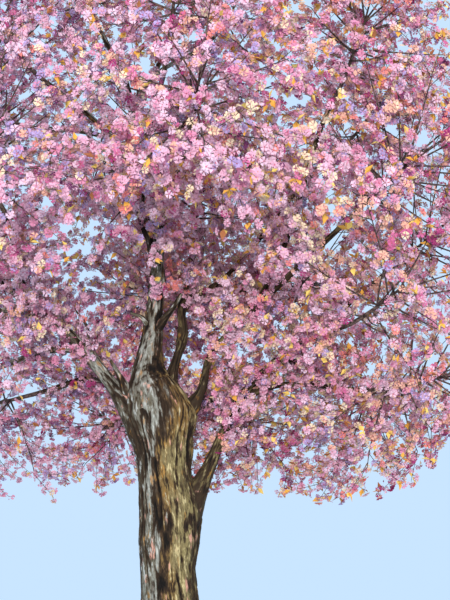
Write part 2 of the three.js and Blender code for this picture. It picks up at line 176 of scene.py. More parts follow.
# The bark's relief, and how finely the limbs are meshed.
TRUNK_ROWS = 320
TRUNK_COLUMNS = 280
BOUGH_STEP = 0.022
MAIN_BOUGH_SIDES = 36
SIDE_BOUGH_SIDES = 22
FURROW_SPACING = 0.058
FURROW_STRETCH = 0.11
TRUNK_FURROW_DEPTH = 0.03
BOUGH_FURROW_SPACING = 0.034
BOUGH_FURROW_SHARE = 0.13
FORK_BLEND = 0.3
SIDE_FORK_BLEND = 0.09
MOST_SIDE_SWELL = 0.22
MOST_SWELL = 0.7
LEFT_BOUGHS_BEFORE = -0.1
THIN_BOUGH = (0.045, 0.1)
SEAM_RELIEF = 0.7
SEAM_WIDTH = 0.06

# Stems, twigs and shoots of the masses.
STEM_TIP = 0.011
STEM_PAST_MIDDLE = 0.16
STEM_RINGS = 10
STEM_SUNK = 0.03
STEM_BASE_SHARE = 0.99
INNER_SIDE_LEFT_BARE = 0.35
LONGEST_REACH = 1.6
TWIG_BASE = 0.011
TWIG_TIP = 0.004
TWIG_STEPS = 8
TWIG_BOW = 0.1
REACHES_TRIED = (1, 0.9, 0.8, 0.7, 0.6)
END_SHOOT = 0.34
SHOOT_STEPS = 4
SHOOT_BENDS_AT = 0.4
SHOOT_KEEPS_HEADING = 0.35
SHOOT_VARIES = (0.75, 1.1)
SHOOTS_TRIED = 3
SHOOT_BASE = 0.0042
SHOOT_TIP = 0.0022
SHOOT_LENGTH = 0.56
SHORTEST_SHOOT = 0.16
KEPT_AT_TOP = 0.62
KEPT_HIGH = 0.41
KEPT_AT_SIDES = 0.23
KEPT_UNDERNEATH = 0.66
OPEN_LOWER_LEFT = 0.4
KEPT_ON_BOUGHS = 0.92
MIDDLE_TO_SIDES = (0.7, 1.5)
LOW_TO_HIGH = (4.6, 5.8)
UNDERSIDE_TO_SIDES = (2.9, 3.5)
OPEN_LEFT_FROM = (-1.1, -1.6)
OPEN_LEFT_BELOW = (4.2, 3.6)
HIGH_TO_TOP = (7.0, 7.8)
CROWD_CUBE = 0.4
CROWD_EVENS_OUT = 0.8
BOUGH_SHOOT_EVERY = 0.04
FRONT_PREFERRED = 1.2
BOUGH_SHOOTS_BELOW = 5.3
BOUGH_PART_LEFT_BARE = 5
FEWEST_BOUGH_POINTS = 20
BOUGH_POINT_EVERY = 6
SHOOT_CHOICES = 16
SHOOT_LEAN = (0.2, 1.0)
SHOOT_SPACING = 0.125
SPACE_MARGIN = 0.005
HULL_MARGIN = 0.06
LIMB_MARGIN = 0.012
GOLDEN_ANGLE = math.pi * (3 - math.sqrt(5))

# The fork is left open to the front: an oval window, as it looks from EYE, where the camera stands too.
EYE = np.array([0.52, -11.7, 1.0])
WINDOW_MIDDLE = (-0.2, 3.26)
WINDOW_HALF_SIZE = (0.58, 0.8)
WINDOW_BACK = 0.3

# Small limbs near the fork: the points that each goes through, and its radii at the root and the tip.
SNAGS = [
    ([(-0.76, -0.05, 3.36), (-0.87, -0.09, 3.6), (-0.89, -0.12, 3.8), (-1.02, -0.16, 3.98)], 0.026, 0.01),
    ([(-0.22, 0, 3.7), (-0.14, -0.05, 3.84), (-0.02, -0.08, 4.0), (0.07, -0.08, 4.16)], 0.05, 0.018),
    ([(-0.22, 0, 3.76), (-0.33, -0.07, 3.9), (-0.45, -0.1, 3.95)], 0.036, 0.014),
    ([(-0.44, -0.06, 3.0), (-0.52, -0.1, 3.24), (-0.64, -0.12, 3.45)], 0.045, 0.016),
]

# Flowers, buds and leaves.
CLUSTER_EVERY = 0.068
FLOWERS_PER_CLUSTER = (3, 5)
STALK_LENGTH = (0.036, 0.062)
STALK_HALF_WIDTH = 0.0022
STALK_SCATTER = 0.85
STALK_OUTWARDS = 0.35
FACES_OUTWARDS = 0.55
FACING_SCATTER = 0.35
FLOWER_RADIUS = (0.031, 0.044)
FLOWER_MARGIN = 0.03
PETAL_COUNT = 5
PETAL_CORNERS = ((0.06, 0.0, 0.0), (0.82, 0.43, 0.18), (0.8, 0.0, 0.3), (0.82, -0.43, 0.18))
PETAL_JITTER = 0.07
KEEPS_SHOOT_SHADE = 0.5
BUD_SHARE = 0.09
BUD_LENGTH = (0.018, 0.028)
LEAF_LENGTH = (0.065, 0.11)
LEAVES_PER_SHOOT = 3
LEAF_SHARES = (0.4, 0.42, 0.18)
LEAF_SUNK = 0.03
INSIDE_TO_OUTSIDE = (0.5, 0.95)
ANY_TURN = (0, 6.28)

# The noise's hash: large odd numbers that mix a lattice corner's place with the seed.
HASH_FACTORS = np.array([73856093, 19349663, 83492791], np.uint64)
SEED_FACTOR = 2654435761
HASH_MIX = 1274126177

# Where random draws and the bark's noise start.
MASS_SEED = 500
BOUGH_SEED = 900
KEEPING_SEED = 3
BLOSSOM_SEED = 7
TRUNK_BARK_SEED = 11
TRUNK_SHADE_SEED = 19
BOUGH_BARK_SEED = 40

# The camera, the floor, the lamps and the sky. Turns are in degrees.
CAMERA_UPWARDS = 14.9
CAMERA_LENS = 70
FLOOR_RADIUS = 70
FLOOR_BELOW = 0.002
FORK_LIGHT_PLACE = (0.3, -30, 1.3)
FORK_LIGHT_UPWARDS = 6.5
FORK_LIGHT_WIDTH = 26
FORK_LIGHT_ENERGY = 25000
FORK_LIGHT_SOFTNESS = 1.0
FORK_LIGHT_BLEND = 0.7
FORK_LIGHT_TINT = (1.0, 0.95, 0.94)
SUNS = (
    ("warm_light", (-0.45, 0.75, -0.5), 0.45, (1.0, 0.92, 0.82), 45),
    ("front_light", (0.2, 0.97, -0.04), 0.7, (1.0, 0.96, 0.94), 40),
)
SKY_STRENGTH = 1.2


def unit(vectors):
    """The same directions with length 1."""
    return vectors / np.linalg.norm(vectors, axis=-1, keepdims=True)


def mix(a, b, share):
    """A value that share of the way from a to b."""
    return a + (b - a) * share


def smoothstep(low, high, value):
    """0 at low and before it, 1 at high and past it, and 3t^2 - 2t^3 between them. It falls where low is
    the larger."""
    t = np.clip((value - low) / (high - low), 0, 1)
    return t * t * (3 - 2 * t)


def lattice_noise(points, seed):
    """Smooth noise from -1 to 1: a hashed value at each corner of a unit lattice, blended by
    3t^2 - 2t^3 along each axis."""
    cell = np.floor(points).astype(np.int64)
    blend = smoothstep(0, 1, points - cell)
    total = np.zeros(points.shape[:-1])
    for corner in np.ndindex(2, 2, 2):
        at = (cell + corner).astype(np.uint64)
        key = np.bitwise_xor.reduce(at * HASH_FACTORS, axis=-1) ^ np.uint64(seed * SEED_FACTOR)
        key = (key ^ key >> 13) * HASH_MIX & 0xFFFFFFFF
        value = (key ^ key >> 16) % 65536 / 32767.5 - 1
        weight = np.where(corner, blend, 1 - blend).prod(axis=-1)
        total += weight * value
    return total


def curve_through(points, spans=40):
    """A smooth curve through points: on each span, the cubic whose ends head half along the line between
    the neighbours. The first and last stretches are carried on straight for that."""
    points = np.array(points, float)
    held = np.vstack([2 * points[0] - points[1], points, 2 * points[-1] - points[-2]])
    u = np.linspace(0, 1, spans, endpoint=False)[:, None]
    parts = []
    for before, a, b, after in zip(held, held[1:], held[2:], held[3:]):
        leave = 0.5 * (b - before)
        arrive = 0.5 * (after - a)
        bend = 3 * (b - a) - 2 * leave - arrive
        twist = 2 * (a - b) + leave + arrive
        parts.append(a + leave * u + bend * u**2 + twist * u**3)
    return np.vstack([*parts, points[-1:]])


def bezier(controls, steps=60):
    """A Bezier curve: each control weighted by its binomial share along the curve."""
    order = len(controls) - 1
    u = np.linspace(0, 1, steps + 1).reshape(-1, *[1] * np.ndim(controls[0]))
    return sum(math.comb(order, i) * (1 - u) ** (order - i) * u**i * c for i, c in enumerate(controls))


def evenly(points, steps):
    """Points at even steps along a line of points."""
    gone = np.concatenate([[0], np.cumsum(np.linalg.norm(np.diff(points, axis=0), axis=1))])
    at = np.linspace(0, gone[-1], steps + 1)
    return np.stack([np.interp(at, gone, points[:, i]) for i in range(3)], axis=1)


class Limb:
    """A tapering limb: the source's rings, which other limbs leave from, and finer points for its mesh."""

    def __init__(self, curve, radius_at, rings):
        self.rings = evenly(curve, rings)
        self.ring_radii = radius_at(np.linspace(0, 1, rings + 1))
        length = np.linalg.norm(np.diff(curve, axis=0), axis=1).sum()
        self.middles = evenly(curve, max(rings, round(length / BOUGH_STEP)))
        self.radii = radius_at(np.linspace(0, 1, len(self.middles)))
        self.heading = unit(self.middles[-1] - self.middles[-2])

    def along(self, share):
        """The point, radius and heading at a share of the limb's length."""
        last = len(self.rings) - 1
        i = min(int(share * last), last - 1)
        part = share * last - i
        a, b = self.rings[i], self.rings[i + 1]
        return mix(a, b, part), mix(self.ring_radii[i], self.ring_radii[i + 1], part), unit(b - a)


def bough_radius(base, shaft, tip):
    """A bough's radius along it: an even taper, and a collar that falls away from the root by a power."""
    return lambda u: tip + (shaft - tip) * (1 - u) + (base - shaft) * (1 - u) ** COLLAR_FALL


def mass_centre(tier, bearing):
    """The middle of a mass: its tier's height, and its tier's distance out along its bearing."""
    height, out, *_ = TIERS[tier]
    angle = math.radians(bearing)
    return np.array([out * math.cos(angle), out * math.sin(angle), height])


CENTRES = np.array([mass_centre(tier, bearing) for _, tier, bearing, *_ in MASSES])


def main_bough(name, centre):
    """A main bough: a smooth curve through its points that ends short of the middle of its mass."""
    points, radii = MAIN_BOUGHS[name]
    onwards = unit(centre - points[-1])
    curve = curve_through([*points, centre - BOUGH_STOPS_SHORT * onwards])
    return Limb(curve, bough_radius(*radii), MAIN_BOUGH_RINGS)


def side_bough(parent, at, centre):
    """A cubic Bezier that leaves the parent partly along it, and comes to its mass from the tree's
    middle."""
    start, radius, heading = parent.along(at)
    outwards = unit(centre - start)
    end = centre - BOUGH_STOPS_SHORT * outwards
    span = np.linalg.norm(end - start)
    leave = start + span * (LEAVE_ALONG * heading + LEAVE_OUT * outwards)
    arrive = end - ARRIVE_ALONG * span * outwards + [0, 0, ARRIVE_FROM_ABOVE * span]
    radii = (SIDE_BOUGH_BASE * radius, SIDE_BOUGH_SHAFT * radius, SIDE_BOUGH_TIP)
    curve = bezier([start, leave, arrive, end], SIDE_BOUGH_STEPS)
    return Limb(curve, bough_radius(*radii), SIDE_BOUGH_RINGS)


def grow_boughs():
    """Every bough by name, each after the one that it leaves."""
    boughs = {}
    for (name, _, _, *side), centre in zip(MASSES, CENTRES):
        boughs[name] = side_bough(boughs[side[0]], side[1], centre) if side else main_bough(name, centre)
    return boughs


BOUGHS = grow_boughs()
SNAG_LIMBS = [
    Limb(curve_through(points), lambda u, base=base, tip=tip: mix(base, tip, u), 4)
    for points, base, tip in SNAGS
]


def in_crown(points, margin=0.0):
    """Whether points are inside the crown's round outline and above its underside, by a margin."""
    x, y, z = np.moveaxis(points, -1, 0)
    depth = np.where(z > CROWN_WAIST, TREE_HEIGHT - CROWN_WAIST, CROWN_WAIST - CROWN_FOOT)
    scaled = np.stack([x / CROWN_HALF_WIDTH, y / CROWN_HALF_DEPTH, (z - CROWN_WAIST) / depth])
    rise = np.where(y > 0, UNDERSIDE_RISE_BACK, UNDERSIDE_RISE_FRONT)
    floor = UNDERSIDE + rise * y * y / (x * x + y * y + 1e-6)
    return (np.linalg.norm(scaled, axis=0) < 1 - margin / CROWN_HALF_WIDTH) & (z > floor + margin)


def in_space(points, k, margin=0.0):
    """Whether points are in the crown and nearer the middle of mass k than any other's."""
    own = CENTRES[k]
    others = np.delete(CENTRES, k, axis=0)
    between = np.linalg.norm(others - own, axis=1)
    to_others = ((points[..., None, :] - others) ** 2).sum(-1)
    to_own = ((points - own) ** 2).sum(-1)[..., None]
    to_edge = (to_others - to_own) / (2 * between)
    return in_crown(points, margin) & (to_edge > SPACE_MARGIN).all(-1)


def in_window(points):
    """Whether points are in the open space in front of the fork, as seen from the front."""
    nearness = -EYE[1] / (points[..., 1] - EYE[1])
    aside = (EYE[0] + (points[..., 0] - EYE[0]) * nearness - WINDOW_MIDDLE[0]) / WINDOW_HALF_SIZE[0]
    above = (EYE[2] + (points[..., 2] - EYE[2]) * nearness - WINDOW_MIDDLE[1]) / WINDOW_HALF_SIZE[1]
    return (points[..., 1] < WINDOW_BACK) & (aside**2 + above**2 < 1)


def by_boughs(points):
    """Whether shoots of the boughs may be at points: in the crown and not in front of the fork."""
    return in_crown(points, HULL_MARGIN) & ~in_window(points)


def room(start, directions, allowed, longest, step=0.02):
    """How far points can go from start in each direction before they come to where they aren't allowed."""
    reaches = np.arange(step, longest + step, step)
    path = start + directions[:, None, :] * reaches[:, None]
    inside = allowed(path)
    first_out = np.where(inside.all(1), len(reaches), inside.argmin(1))
    return first_out * step


def square_to(headings):
    """Two directions square to each heading: level across it, and over it."""
    across = unit(np.cross([0, 0, 1], headings + [1e-9, 0, 0]))
    return across, np.cross(headings, across)


def spread_directions(k, count, turn):
    """Directions spread by the golden angle, from straight out of the crown round to the mass's inner
    side."""
    i = np.arange(count)
    outwards = unit(CENTRES[k] - CROWN_MIDDLE)
    across, over = square_to(outwards)
    out = 1 - (2 - INNER_SIDE_LEFT_BARE) * (i + 0.25) / count
    level = np.sqrt(1 - out**2)
    angle = GOLDEN_ANGLE * i + turn
    parts = [(out, outwards), (level * np.cos(angle), across), (level * np.sin(angle), over)]
    return sum(share[:, None] * axis for share, axis in parts)


LIMB_POINTS = np.vstack([bough.middles for bough in BOUGHS.values()])
LIMB_RADII = np.concatenate([bough.radii for bough in BOUGHS.values()])


def clear_of_limbs(points, margin):
    """Whether points are outside every bough and the trunk by a margin."""
    clear = np.ones(len(points), bool)
    for i in range(0, len(points), 4000):
        part = points[i : i + 4000]
        gaps = np.linalg.norm(part[:, None] - LIMB_POINTS, axis=-1) - LIMB_RADII
        clear[i : i + 4000] = gaps.min(1) > margin
    shift, half = (np.interp(points[:, 2], TRUNK[:, 0], TRUNK[:, c]) for c in (1, 2))
    from_trunk = np.hypot(points[:, 0] - shift, points[:, 1]) - half
    return clear & ((from_trunk > margin) | (points[:, 2] > TRUNK[-1, 0] + margin))


def stem_of(k):
    """A mass's stem goes on from its bough's tip, through the middle of the mass."""
    bough = BOUGHS[NAMES[k]]
    start = bough.middles[-1]
    onwards = unit(CENTRES[k] - start)
    leave = start + 0.4 * BOUGH_STOPS_SHORT * bough.heading
    arrive = CENTRES[k] - 0.5 * STEM_PAST_MIDDLE * onwards
    end = CENTRES[k] + STEM_PAST_MIDDLE * onwards
    curve = np.vstack([start - STEM_SUNK * bough.heading, bezier([start, leave, arrive, end])])
    base = STEM_BASE_SHARE * bough.radii[-1]
    return Limb(curve, lambda u: mix(base, STEM_TIP, u), STEM_RINGS), onwards


class Growth:
    """Every shoot of the tree so far: its curve's points, its mass, and the marks that others keep from."""

    def __init__(self):
        self.shoots = []
        self.masses = []
        self.marks = np.zeros((0, 3))

    def openness(self, points):
        """The distance from each point to the nearest mark."""
        if not len(self.marks):
            return np.full(points.shape[:-1], LONGEST_REACH)
        return np.linalg.norm(points[..., None, :] - self.marks, axis=-1).min(-1)

    def add(self, curve, k):
        """Keeps a shoot of mass k, with three marks on its outer part."""
        self.shoots.append(curve)
        self.masses.append(k)
        self.marks = np.vstack([self.marks, curve[[2, 3, 4]]])


def shoot_curve(start, heading, direction, length):
    """A shoot bends from its twig's heading to its own direction: a quadratic Bezier in four steps."""
    bend = start + SHOOT_BENDS_AT * length * unit(direction + SHOOT_KEEPS_HEADING * heading)
    return bezier([start, bend, start + length * direction], SHOOT_STEPS)


def shoot_choices(start, heading, allowed, chance):
    """Directions all round a twig, leaning more and more along it, that a shoot could take from a place on
    it, and how far it could go in each. Those with too little room are left out."""
    across, over = square_to(heading)
    n = np.arange(SHOOT_CHOICES)
    angle = GOLDEN_ANGLE * n + chance.uniform(0, 2 * math.pi)
    lean = mix(*SHOOT_LEAN, n / SHOOT_CHOICES)
    directions = np.cos(angle)[:, None] * across + np.sin(angle)[:, None] * over
    directions = unit(directions + lean[:, None] * heading)
    longest = SHOOT_LENGTH * chance.uniform(*SHOOT_VARIES)
    lengths = np.minimum(room(start, directions, allowed, longest), longest)
    fits = lengths > SHORTEST_SHOOT
    return directions[fits], lengths[fits]


def grow_side_shoots(growth, k, twig, allowed, every, chance, front=0.0):
    """At each place along a twig, the shoot is kept that has the most room and stands furthest from all
    other shoots. front prefers those that come to the front."""
    length = np.linalg.norm(np.diff(twig, axis=0), axis=1).sum()
    for share in np.arange(every, length, every) / length:
        place = share * (len(twig) - 1)
        i = int(place)
        start = mix(twig[i], twig[i + 1], place - i)
        heading = unit(twig[i + 1] - twig[i])
        directions, lengths = shoot_choices(start, heading, allowed, chance)
        if not len(lengths):
            continue
        far = start + directions * lengths[:, None]
        middles = start + directions * 0.6 * lengths[:, None]
        gaps = np.minimum(growth.openness(far), growth.openness(middles))
        worth = gaps * (0.4 + lengths / SHOOT_LENGTH) * (1 + front * np.maximum(0, -directions[:, 1]))
        for best in np.argsort(-worth)[:SHOOTS_TRIED]:
            if gaps[best] < SHOOT_SPACING:
                continue
            curve = shoot_curve(start, heading, directions[best], lengths[best])
            if clear_of_limbs(curve[1:], LIMB_MARGIN).all():
                growth.add(curve, k)
                break


def grow_mass(growth, k):
    """The stem and twigs of a mass, whose shoots are added to the tree's growth."""
    chance = np.random.default_rng(MASS_SEED + k)
    stem, onwards = stem_of(k)
    twigs = []
    *_, count, every = TIERS[MASSES[k][1]]

    def allowed(points):
        return in_space(points, k, HULL_MARGIN)

    directions = spread_directions(k, count, chance.uniform(0, 2 * math.pi))
    reaches = room(CENTRES[k], directions, allowed, LONGEST_REACH)
    for direction, reach in zip(directions, reaches):
        start, *_ = stem.along(0.3 + 0.65 * (0.5 + 0.5 * direction @ onwards))
        for share in REACHES_TRIED:
            end = CENTRES[k] + direction * (share * reach - END_SHOOT)
            bend = mix(end, start, 0.5) + TWIG_BOW * reach * direction
            twig = bezier([start, bend, end], TWIG_STEPS)
            tip = CENTRES[k] + direction * share * reach
            end_shoot = bezier([end, mix(end, tip, 0.5), tip], SHOOT_STEPS)
            if not clear_of_limbs(np.vstack([twig[1:], end_shoot]), LIMB_MARGIN).all():
                continue
            growth.add(end_shoot, k)
            twigs.append(twig)
            break
    for twig in [*twigs, stem.middles[:: len(stem.middles) // 8]]:
        grow_side_shoots(growth, k, twig, allowed, every, chance)
    return stem, twigs


def grow_bough_shoots(growth, k):
    """Shoots with blossom stand on the outer part of a bough too, below the upper crown. Those that come
    to the front are preferred."""
    chance = np.random.default_rng(BOUGH_SEED + k)
    bough = BOUGHS[NAMES[k]]
    low = bough.middles[bough.middles[:, 2] < BOUGH_SHOOTS_BELOW]
    outer = low[len(low) // BOUGH_PART_LEFT_BARE :]
    if len(outer) > FEWEST_BOUGH_POINTS:
        line = outer[::BOUGH_POINT_EVERY]
        grow_side_shoots(growth, k, line, by_boughs, BOUGH_SHOOT_EVERY, chance, FRONT_PREFERRED)


def carried_frames(middles):
    """Headings along paths of points, and a square direction that is carried along each path by taking off
    what lies along the next heading. The paths' shape is points by paths by 3."""
    headings = unit(np.gradient(middles, axis=0))
    sides = np.empty_like(headings)
    side = square_to(headings[0])[0]
    for i, heading in enumerate(headings):
        side = unit(side - (side * heading).sum(-1, keepdims=True) * heading)
        sides[i] = side
    return headings, sides, np.cross(headings, sides)


def tube_points(middles, radii, sides):
    """Rings round paths of points: middle + radius * (cos(angle) * side + sin(angle) * over). The result is
    rings by sides by paths by 3."""
    _, side, over = carried_frames(middles)
    angle = np.linspace(0, 2 * math.pi, sides, endpoint=False)[None, :, None, None]
    arms = np.cos(angle) * side[:, None] + np.sin(angle) * over[:, None]
    return middles[:, None] + radii[:, None, :, None] * arms


def closed_rings(rings):
    """Faces of rings of points round a limb, rings by sides by paths by 3, with a point at each end that
    closes it. Gives the points and the triangles, whose front is outside."""
    count, sides, paths = rings.shape[:3]
    number = np.arange(count * sides * paths).reshape(count, sides, paths)
    after = np.roll(number, -1, axis=1)
    a, b, c, d = number[:-1], after[:-1], after[1:], number[1:]
    walls = np.stack([np.stack([a, b, c], -1), np.stack([a, c, d], -1)]).reshape(-1, 3)
    root = np.broadcast_to(number.size + np.arange(paths), (sides, paths))
    tip = root + paths
    ends = np.stack([
        np.stack([root, after[0], number[0]], -1),
        np.stack([tip, number[-1], after[-1]], -1),
    ]).reshape(-1, 3)
    points = np.vstack([rings.reshape(-1, 3), rings[0].mean(0), rings[-1].mean(0)])
    return points, np.vstack([walls, ends])


def make_piece(name, points, triangles, materials, choice=None, smooth=True, **attributes):
    """Puts arrays of points and triangles into one mesh. choice is each triangle's material, and each
    attribute has a number or a vector at each point."""
    mesh = bpy.data.meshes.new(name)
    mesh.vertices.add(len(points))
    mesh.vertices.foreach_set("co", np.ascontiguousarray(points, np.float32).ravel())
    mesh.loops.add(triangles.size)
    mesh.loops.foreach_set("vertex_index", np.ascontiguousarray(triangles, np.int32).ravel())
    mesh.polygons.add(len(triangles))
    mesh.polygons.foreach_set("loop_start", np.arange(0, triangles.size, 3, dtype=np.int32))
    mesh.polygons.foreach_set("use_smooth", np.full(len(triangles), smooth))
    for material in materials:
        mesh.materials.append(material)
    if choice is not None:
        mesh.polygons.foreach_set("material_index", choice.astype(np.int32))
    mesh.update(calc_edges=True)
    for label, values in attributes.items():
        kind, field = ("FLOAT", "value") if values.ndim == 1 else ("FLOAT_VECTOR", "vector")
        layer = mesh.attributes.new(label, kind, "POINT")
        layer.data.foreach_set(field, values.astype(np.float32).ravel())
    piece = bpy.data.objects.new(name, mesh)
    bpy.context.scene.collection.objects.link(piece)
    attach(piece, "root")
    return piece


class Mesh:
    """Points and triangles that are gathered part by part and joined as one piece."""

    def __init__(self):
        self.points, self.triangles, self.extras, self.count = [], [], [], 0

    def add(self, points, triangles, *extras):
        """Adds a part, with one row of each extra to a point."""
        self.points.append(points)
        self.triangles.append(triangles + self.count)
        self.extras.append(extras)
        self.count += len(points)

    def joined(self):
        """All points, all triangles, and then each extra."""
        extras = [np.concatenate(column) for column in zip(*self.extras)]
        return np.vstack(self.points), np.vstack(self.triangles), *extras


class Link:
    """An output of a material's nodes. Arithmetic on it adds Math nodes."""

    def __init__(self, finish, socket):
        self.finish = finish
        self.socket = socket

    def maths(self, operation, *values):
        """A Math node on values and links."""
        return self.finish.node("ShaderNodeMath", {"operation": operation}, *values)

    def __add__(self, other):
        return self.maths("ADD", self, other)

    def __sub__(self, other):
        return self.maths("SUBTRACT", self, other)

    def __rsub__(self, other):
        return self.maths("SUBTRACT", other, self)

    def __mul__(self, other):
        return self.maths("MULTIPLY", self, other)

    def between(self, low, high):
        """A smooth step from 0 at low to 1 at high."""
        settings = {"interpolation_type": "SMOOTHSTEP"}
        return self.finish.node("ShaderNodeMapRange", settings, self, low, high, 0.0, 1.0)

    __radd__ = __add__
    __rmul__ = __mul__


class Finish:
    """A material made of nodes, whose main shader's own sockets are set by name."""

    def __init__(self, name, **constants):
        self.material = bpy.data.materials.new(name)
        self.material.use_nodes = True
        self.tree = self.material.node_tree
        self.shader = self.tree.nodes["Principled BSDF"]
        for socket, value in constants.items():
            self.shader.inputs[socket.replace("_", " ")].default_value = value
        self.material.diffuse_color = self.shader.inputs["Base Color"].default_value

    def node(self, kind, settings, *values, output=0, **named):
        """A node of a kind: its settings come first, then its sockets in order or by name, each a value or
        a link."""
        node = self.tree.nodes.new(kind)
        for key, value in settings.items():
            if key == "stops":
                self.set_stops(node.color_ramp.elements, value)
            else:
                setattr(node, key, value)
        sockets = list(zip(node.inputs, values))
        sockets += [(node.inputs[key], value) for key, value in named.items()]
        for socket, value in sockets:
            if isinstance(value, Link):
                self.tree.links.new(value.socket, socket)
            else:
                socket.default_value = value
        return Link(self, node.outputs[output])

    @staticmethod
    def set_stops(elements, stops):
        """Gives a colour ramp its stops, each a place and a colour. The first is at 0, the last at 1."""
        elements[0].color = stops[0][1]
        elements[1].color = stops[-1][1]
        for place, shade in stops[1:-1]:
            elements.new(place).color = shade

    def attribute(self, name, output="Fac"):
        """A value that the mesh has at each point."""
        return self.node("ShaderNodeAttribute", {"attribute_name": name}, output=output)

    def stretched(self, vector, scale, shift=(0.0, 0.0, 0.0)):
        """A vector times a scale on each axis, plus a shift."""
        settings = {"operation": "MULTIPLY_ADD"}
        return self.node("ShaderNodeVectorMath", settings, vector, scale, shift)

    def noise(self, vector, detail=3.0, roughness=0.55):
        """Noise from 0 to 1 on a vector."""
        named = {"Scale": 1.0, "Detail": detail, "Roughness": roughness}
        return self.node("ShaderNodeTexNoise", {}, vector, **named)

    def blend(self, a, b, share):
        """Colour a turned to colour b by a share."""
        node = self.tree.nodes.new("ShaderNodeMix")
        node.data_type = "RGBA"
        for socket, value in ((node.inputs[0], share), (node.inputs[6], a), (node.inputs[7], b)):
            if isinstance(value, Link):
                self.tree.links.new(value.socket, socket)
            else:
                socket.default_value = value
        return Link(self, node.outputs[2])

    def feed(self, socket, link):
        """Feeds one of the main shader's sockets."""
        self.tree.links.new(link.socket, self.shader.inputs[socket])

    def bump(self, height, strength, distance):
        """Makes the surface look raised by a height."""
        named = {"Strength": strength, "Distance": distance, "Height": height}
        self.feed("Normal", self.node("ShaderNodeBump", {}, **named))


def colour(red, green, blue):
    """A shade given as 0 to 255 on a screen, as the linear values that a shader takes."""
    shade = np.array([red, green, blue]) / 255
    linear = np.where(shade > 0.04045, ((shade + 0.055) / 1.055) ** 2.4, shade / 12.92)
    return (*map(float, linear), 1.0)


# Colours from the trunk's left edge to its right edge, as seen from the front. They are partly the bark's
# own tones and partly painted light: the dark stops at both edges are painted shade where the trunk turns
# away, the grey-silver at the left is painted cool light, and the ochre and straw-olive towards the right
# are painted warm light over the bark's brown.
BARK_AND_PAINTED_LIGHT_BANDS = [
    (0.0, (58, 47, 35)),
    (0.12, (98, 90, 72)),
    (0.27, (152, 152, 140)),
    (0.4, (80, 62, 44)),
    (0.53, (134, 106, 60)),
    (0.68, (126, 112, 76)),
    (0.84, (136, 122, 80)),
    (1.0, (60, 48, 34)),
]


def bark_finish():
    """Bark by its relief: near black in the furrows, which is partly painted shade in the recesses and
    partly the bark's dark dashes, then the colour of its band, and pale flakes on the ridges, partly the
    bark's pale outer layer and partly a painted highlight, silver to the left as painted cool light and
    straw to the right as painted warm light, with touches of pink and ochre. Towards the right edge the
    bark is darkened by painted shade."""
    bark = Finish("bark", Base_Color=colour(110, 99, 80), Roughness=0.9, Specular_IOR_Level=0.25)
    grain = bark.attribute("grain", "Vector")
    relief = bark.attribute("relief")
    across = bark.attribute("across")
    dash = bark.noise(bark.stretched(grain, (42, 42, 9)), 3.0)
    fleck = bark.noise(bark.stretched(grain, (95, 95, 26), (9.0, 2.0, 5.0)), 3.0)
    patch = bark.noise(bark.stretched(grain, (13, 13, 3.0), (3.0, 7.0, 1.0)), 2.0)
    rare = bark.noise(bark.stretched(grain, (17, 17, 5.5), (1.0, 12.0, 8.0)), 2.0)
    bands = [(place, colour(*shade)) for place, shade in BARK_AND_PAINTED_LIGHT_BANDS]
    # The band's colour carries painted light and shade by side as well as the bark's own tones.
    tone = bark.node("ShaderNodeValToRGB", {"stops": bands}, across + (patch - 0.5) * 0.7)
    level = relief * 0.6 + dash * 0.9 + fleck * 0.5
    # Painted light on the pale flakes: silver stands for the cool light at the left, straw for the warm
    # light at the right.
    silver = colour(196, 198, 188)
    straw = colour(210, 192, 140)
    pale = bark.blend(silver, straw, (across + (patch - 0.5) * 0.8).between(0.3, 0.6))
    # Painted shade at the trunk's right edge, where it turns away: darker, and with fewer pale flakes.
    edge = across.between(0.8, 1.0)
    heart = across.between(0.3, 0.38) * across.between(0.54, 0.44)
    level = level - edge * 0.08 - heart * 0.14
    tone = bark.blend(tone, pale, level.between(1.24, 1.42) * (0.85 - edge * 0.45))
    tone = bark.blend(tone, colour(218, 160, 138), rare.between(0.62, 0.72) * level.between(1.0, 1.2) * 0.8)
    tone = bark.blend(tone, colour(176, 122, 46), rare.between(0.38, 0.28) * level.between(1.0, 1.2) * 0.6)
    # Dark brown, then near black where level is low: partly painted shade in the furrows' recesses, partly
    # the bark's own dark dashes and flecks.
    tone = bark.blend(colour(54, 40, 27), tone, level.between(0.98, 1.2))
    tone = bark.blend(colour(18, 14, 10), tone, level.between(0.62, 1.0))
    bark.feed("Base Color", tone)
    fine = bark.noise(bark.stretched(grain, (130, 130, 30)), 4.0, 0.65)
    bark.bump(fine + relief * 0.3 + dash * 0.5, 0.6, 0.007)
    return bark.material


def twig_finish():
    """Twigs are dark red-brown, mottled with grey."""
    twig = Finish("twig", Base_Color=colour(72, 52, 44), Roughness=0.8, Specular_IOR_Level=0.3)
    place = twig.node("ShaderNodeTexCoord", {}, output="Object")
    mottle = twig.noise(twig.stretched(place, (30, 30, 30)), 3.0)
    tone = twig.blend(colour(60, 42, 40), colour(128, 106, 94), mottle.between(0.38, 0.7))
    twig.feed("Base Color", tone)
    return twig.material


def petal_finish(name, shade):
    """One plain soft shade, for petals, leaves or stalks."""
    return Finish(name, Base_Color=colour(*shade), Roughness=0.62, Specular_IOR_Level=0.3).material


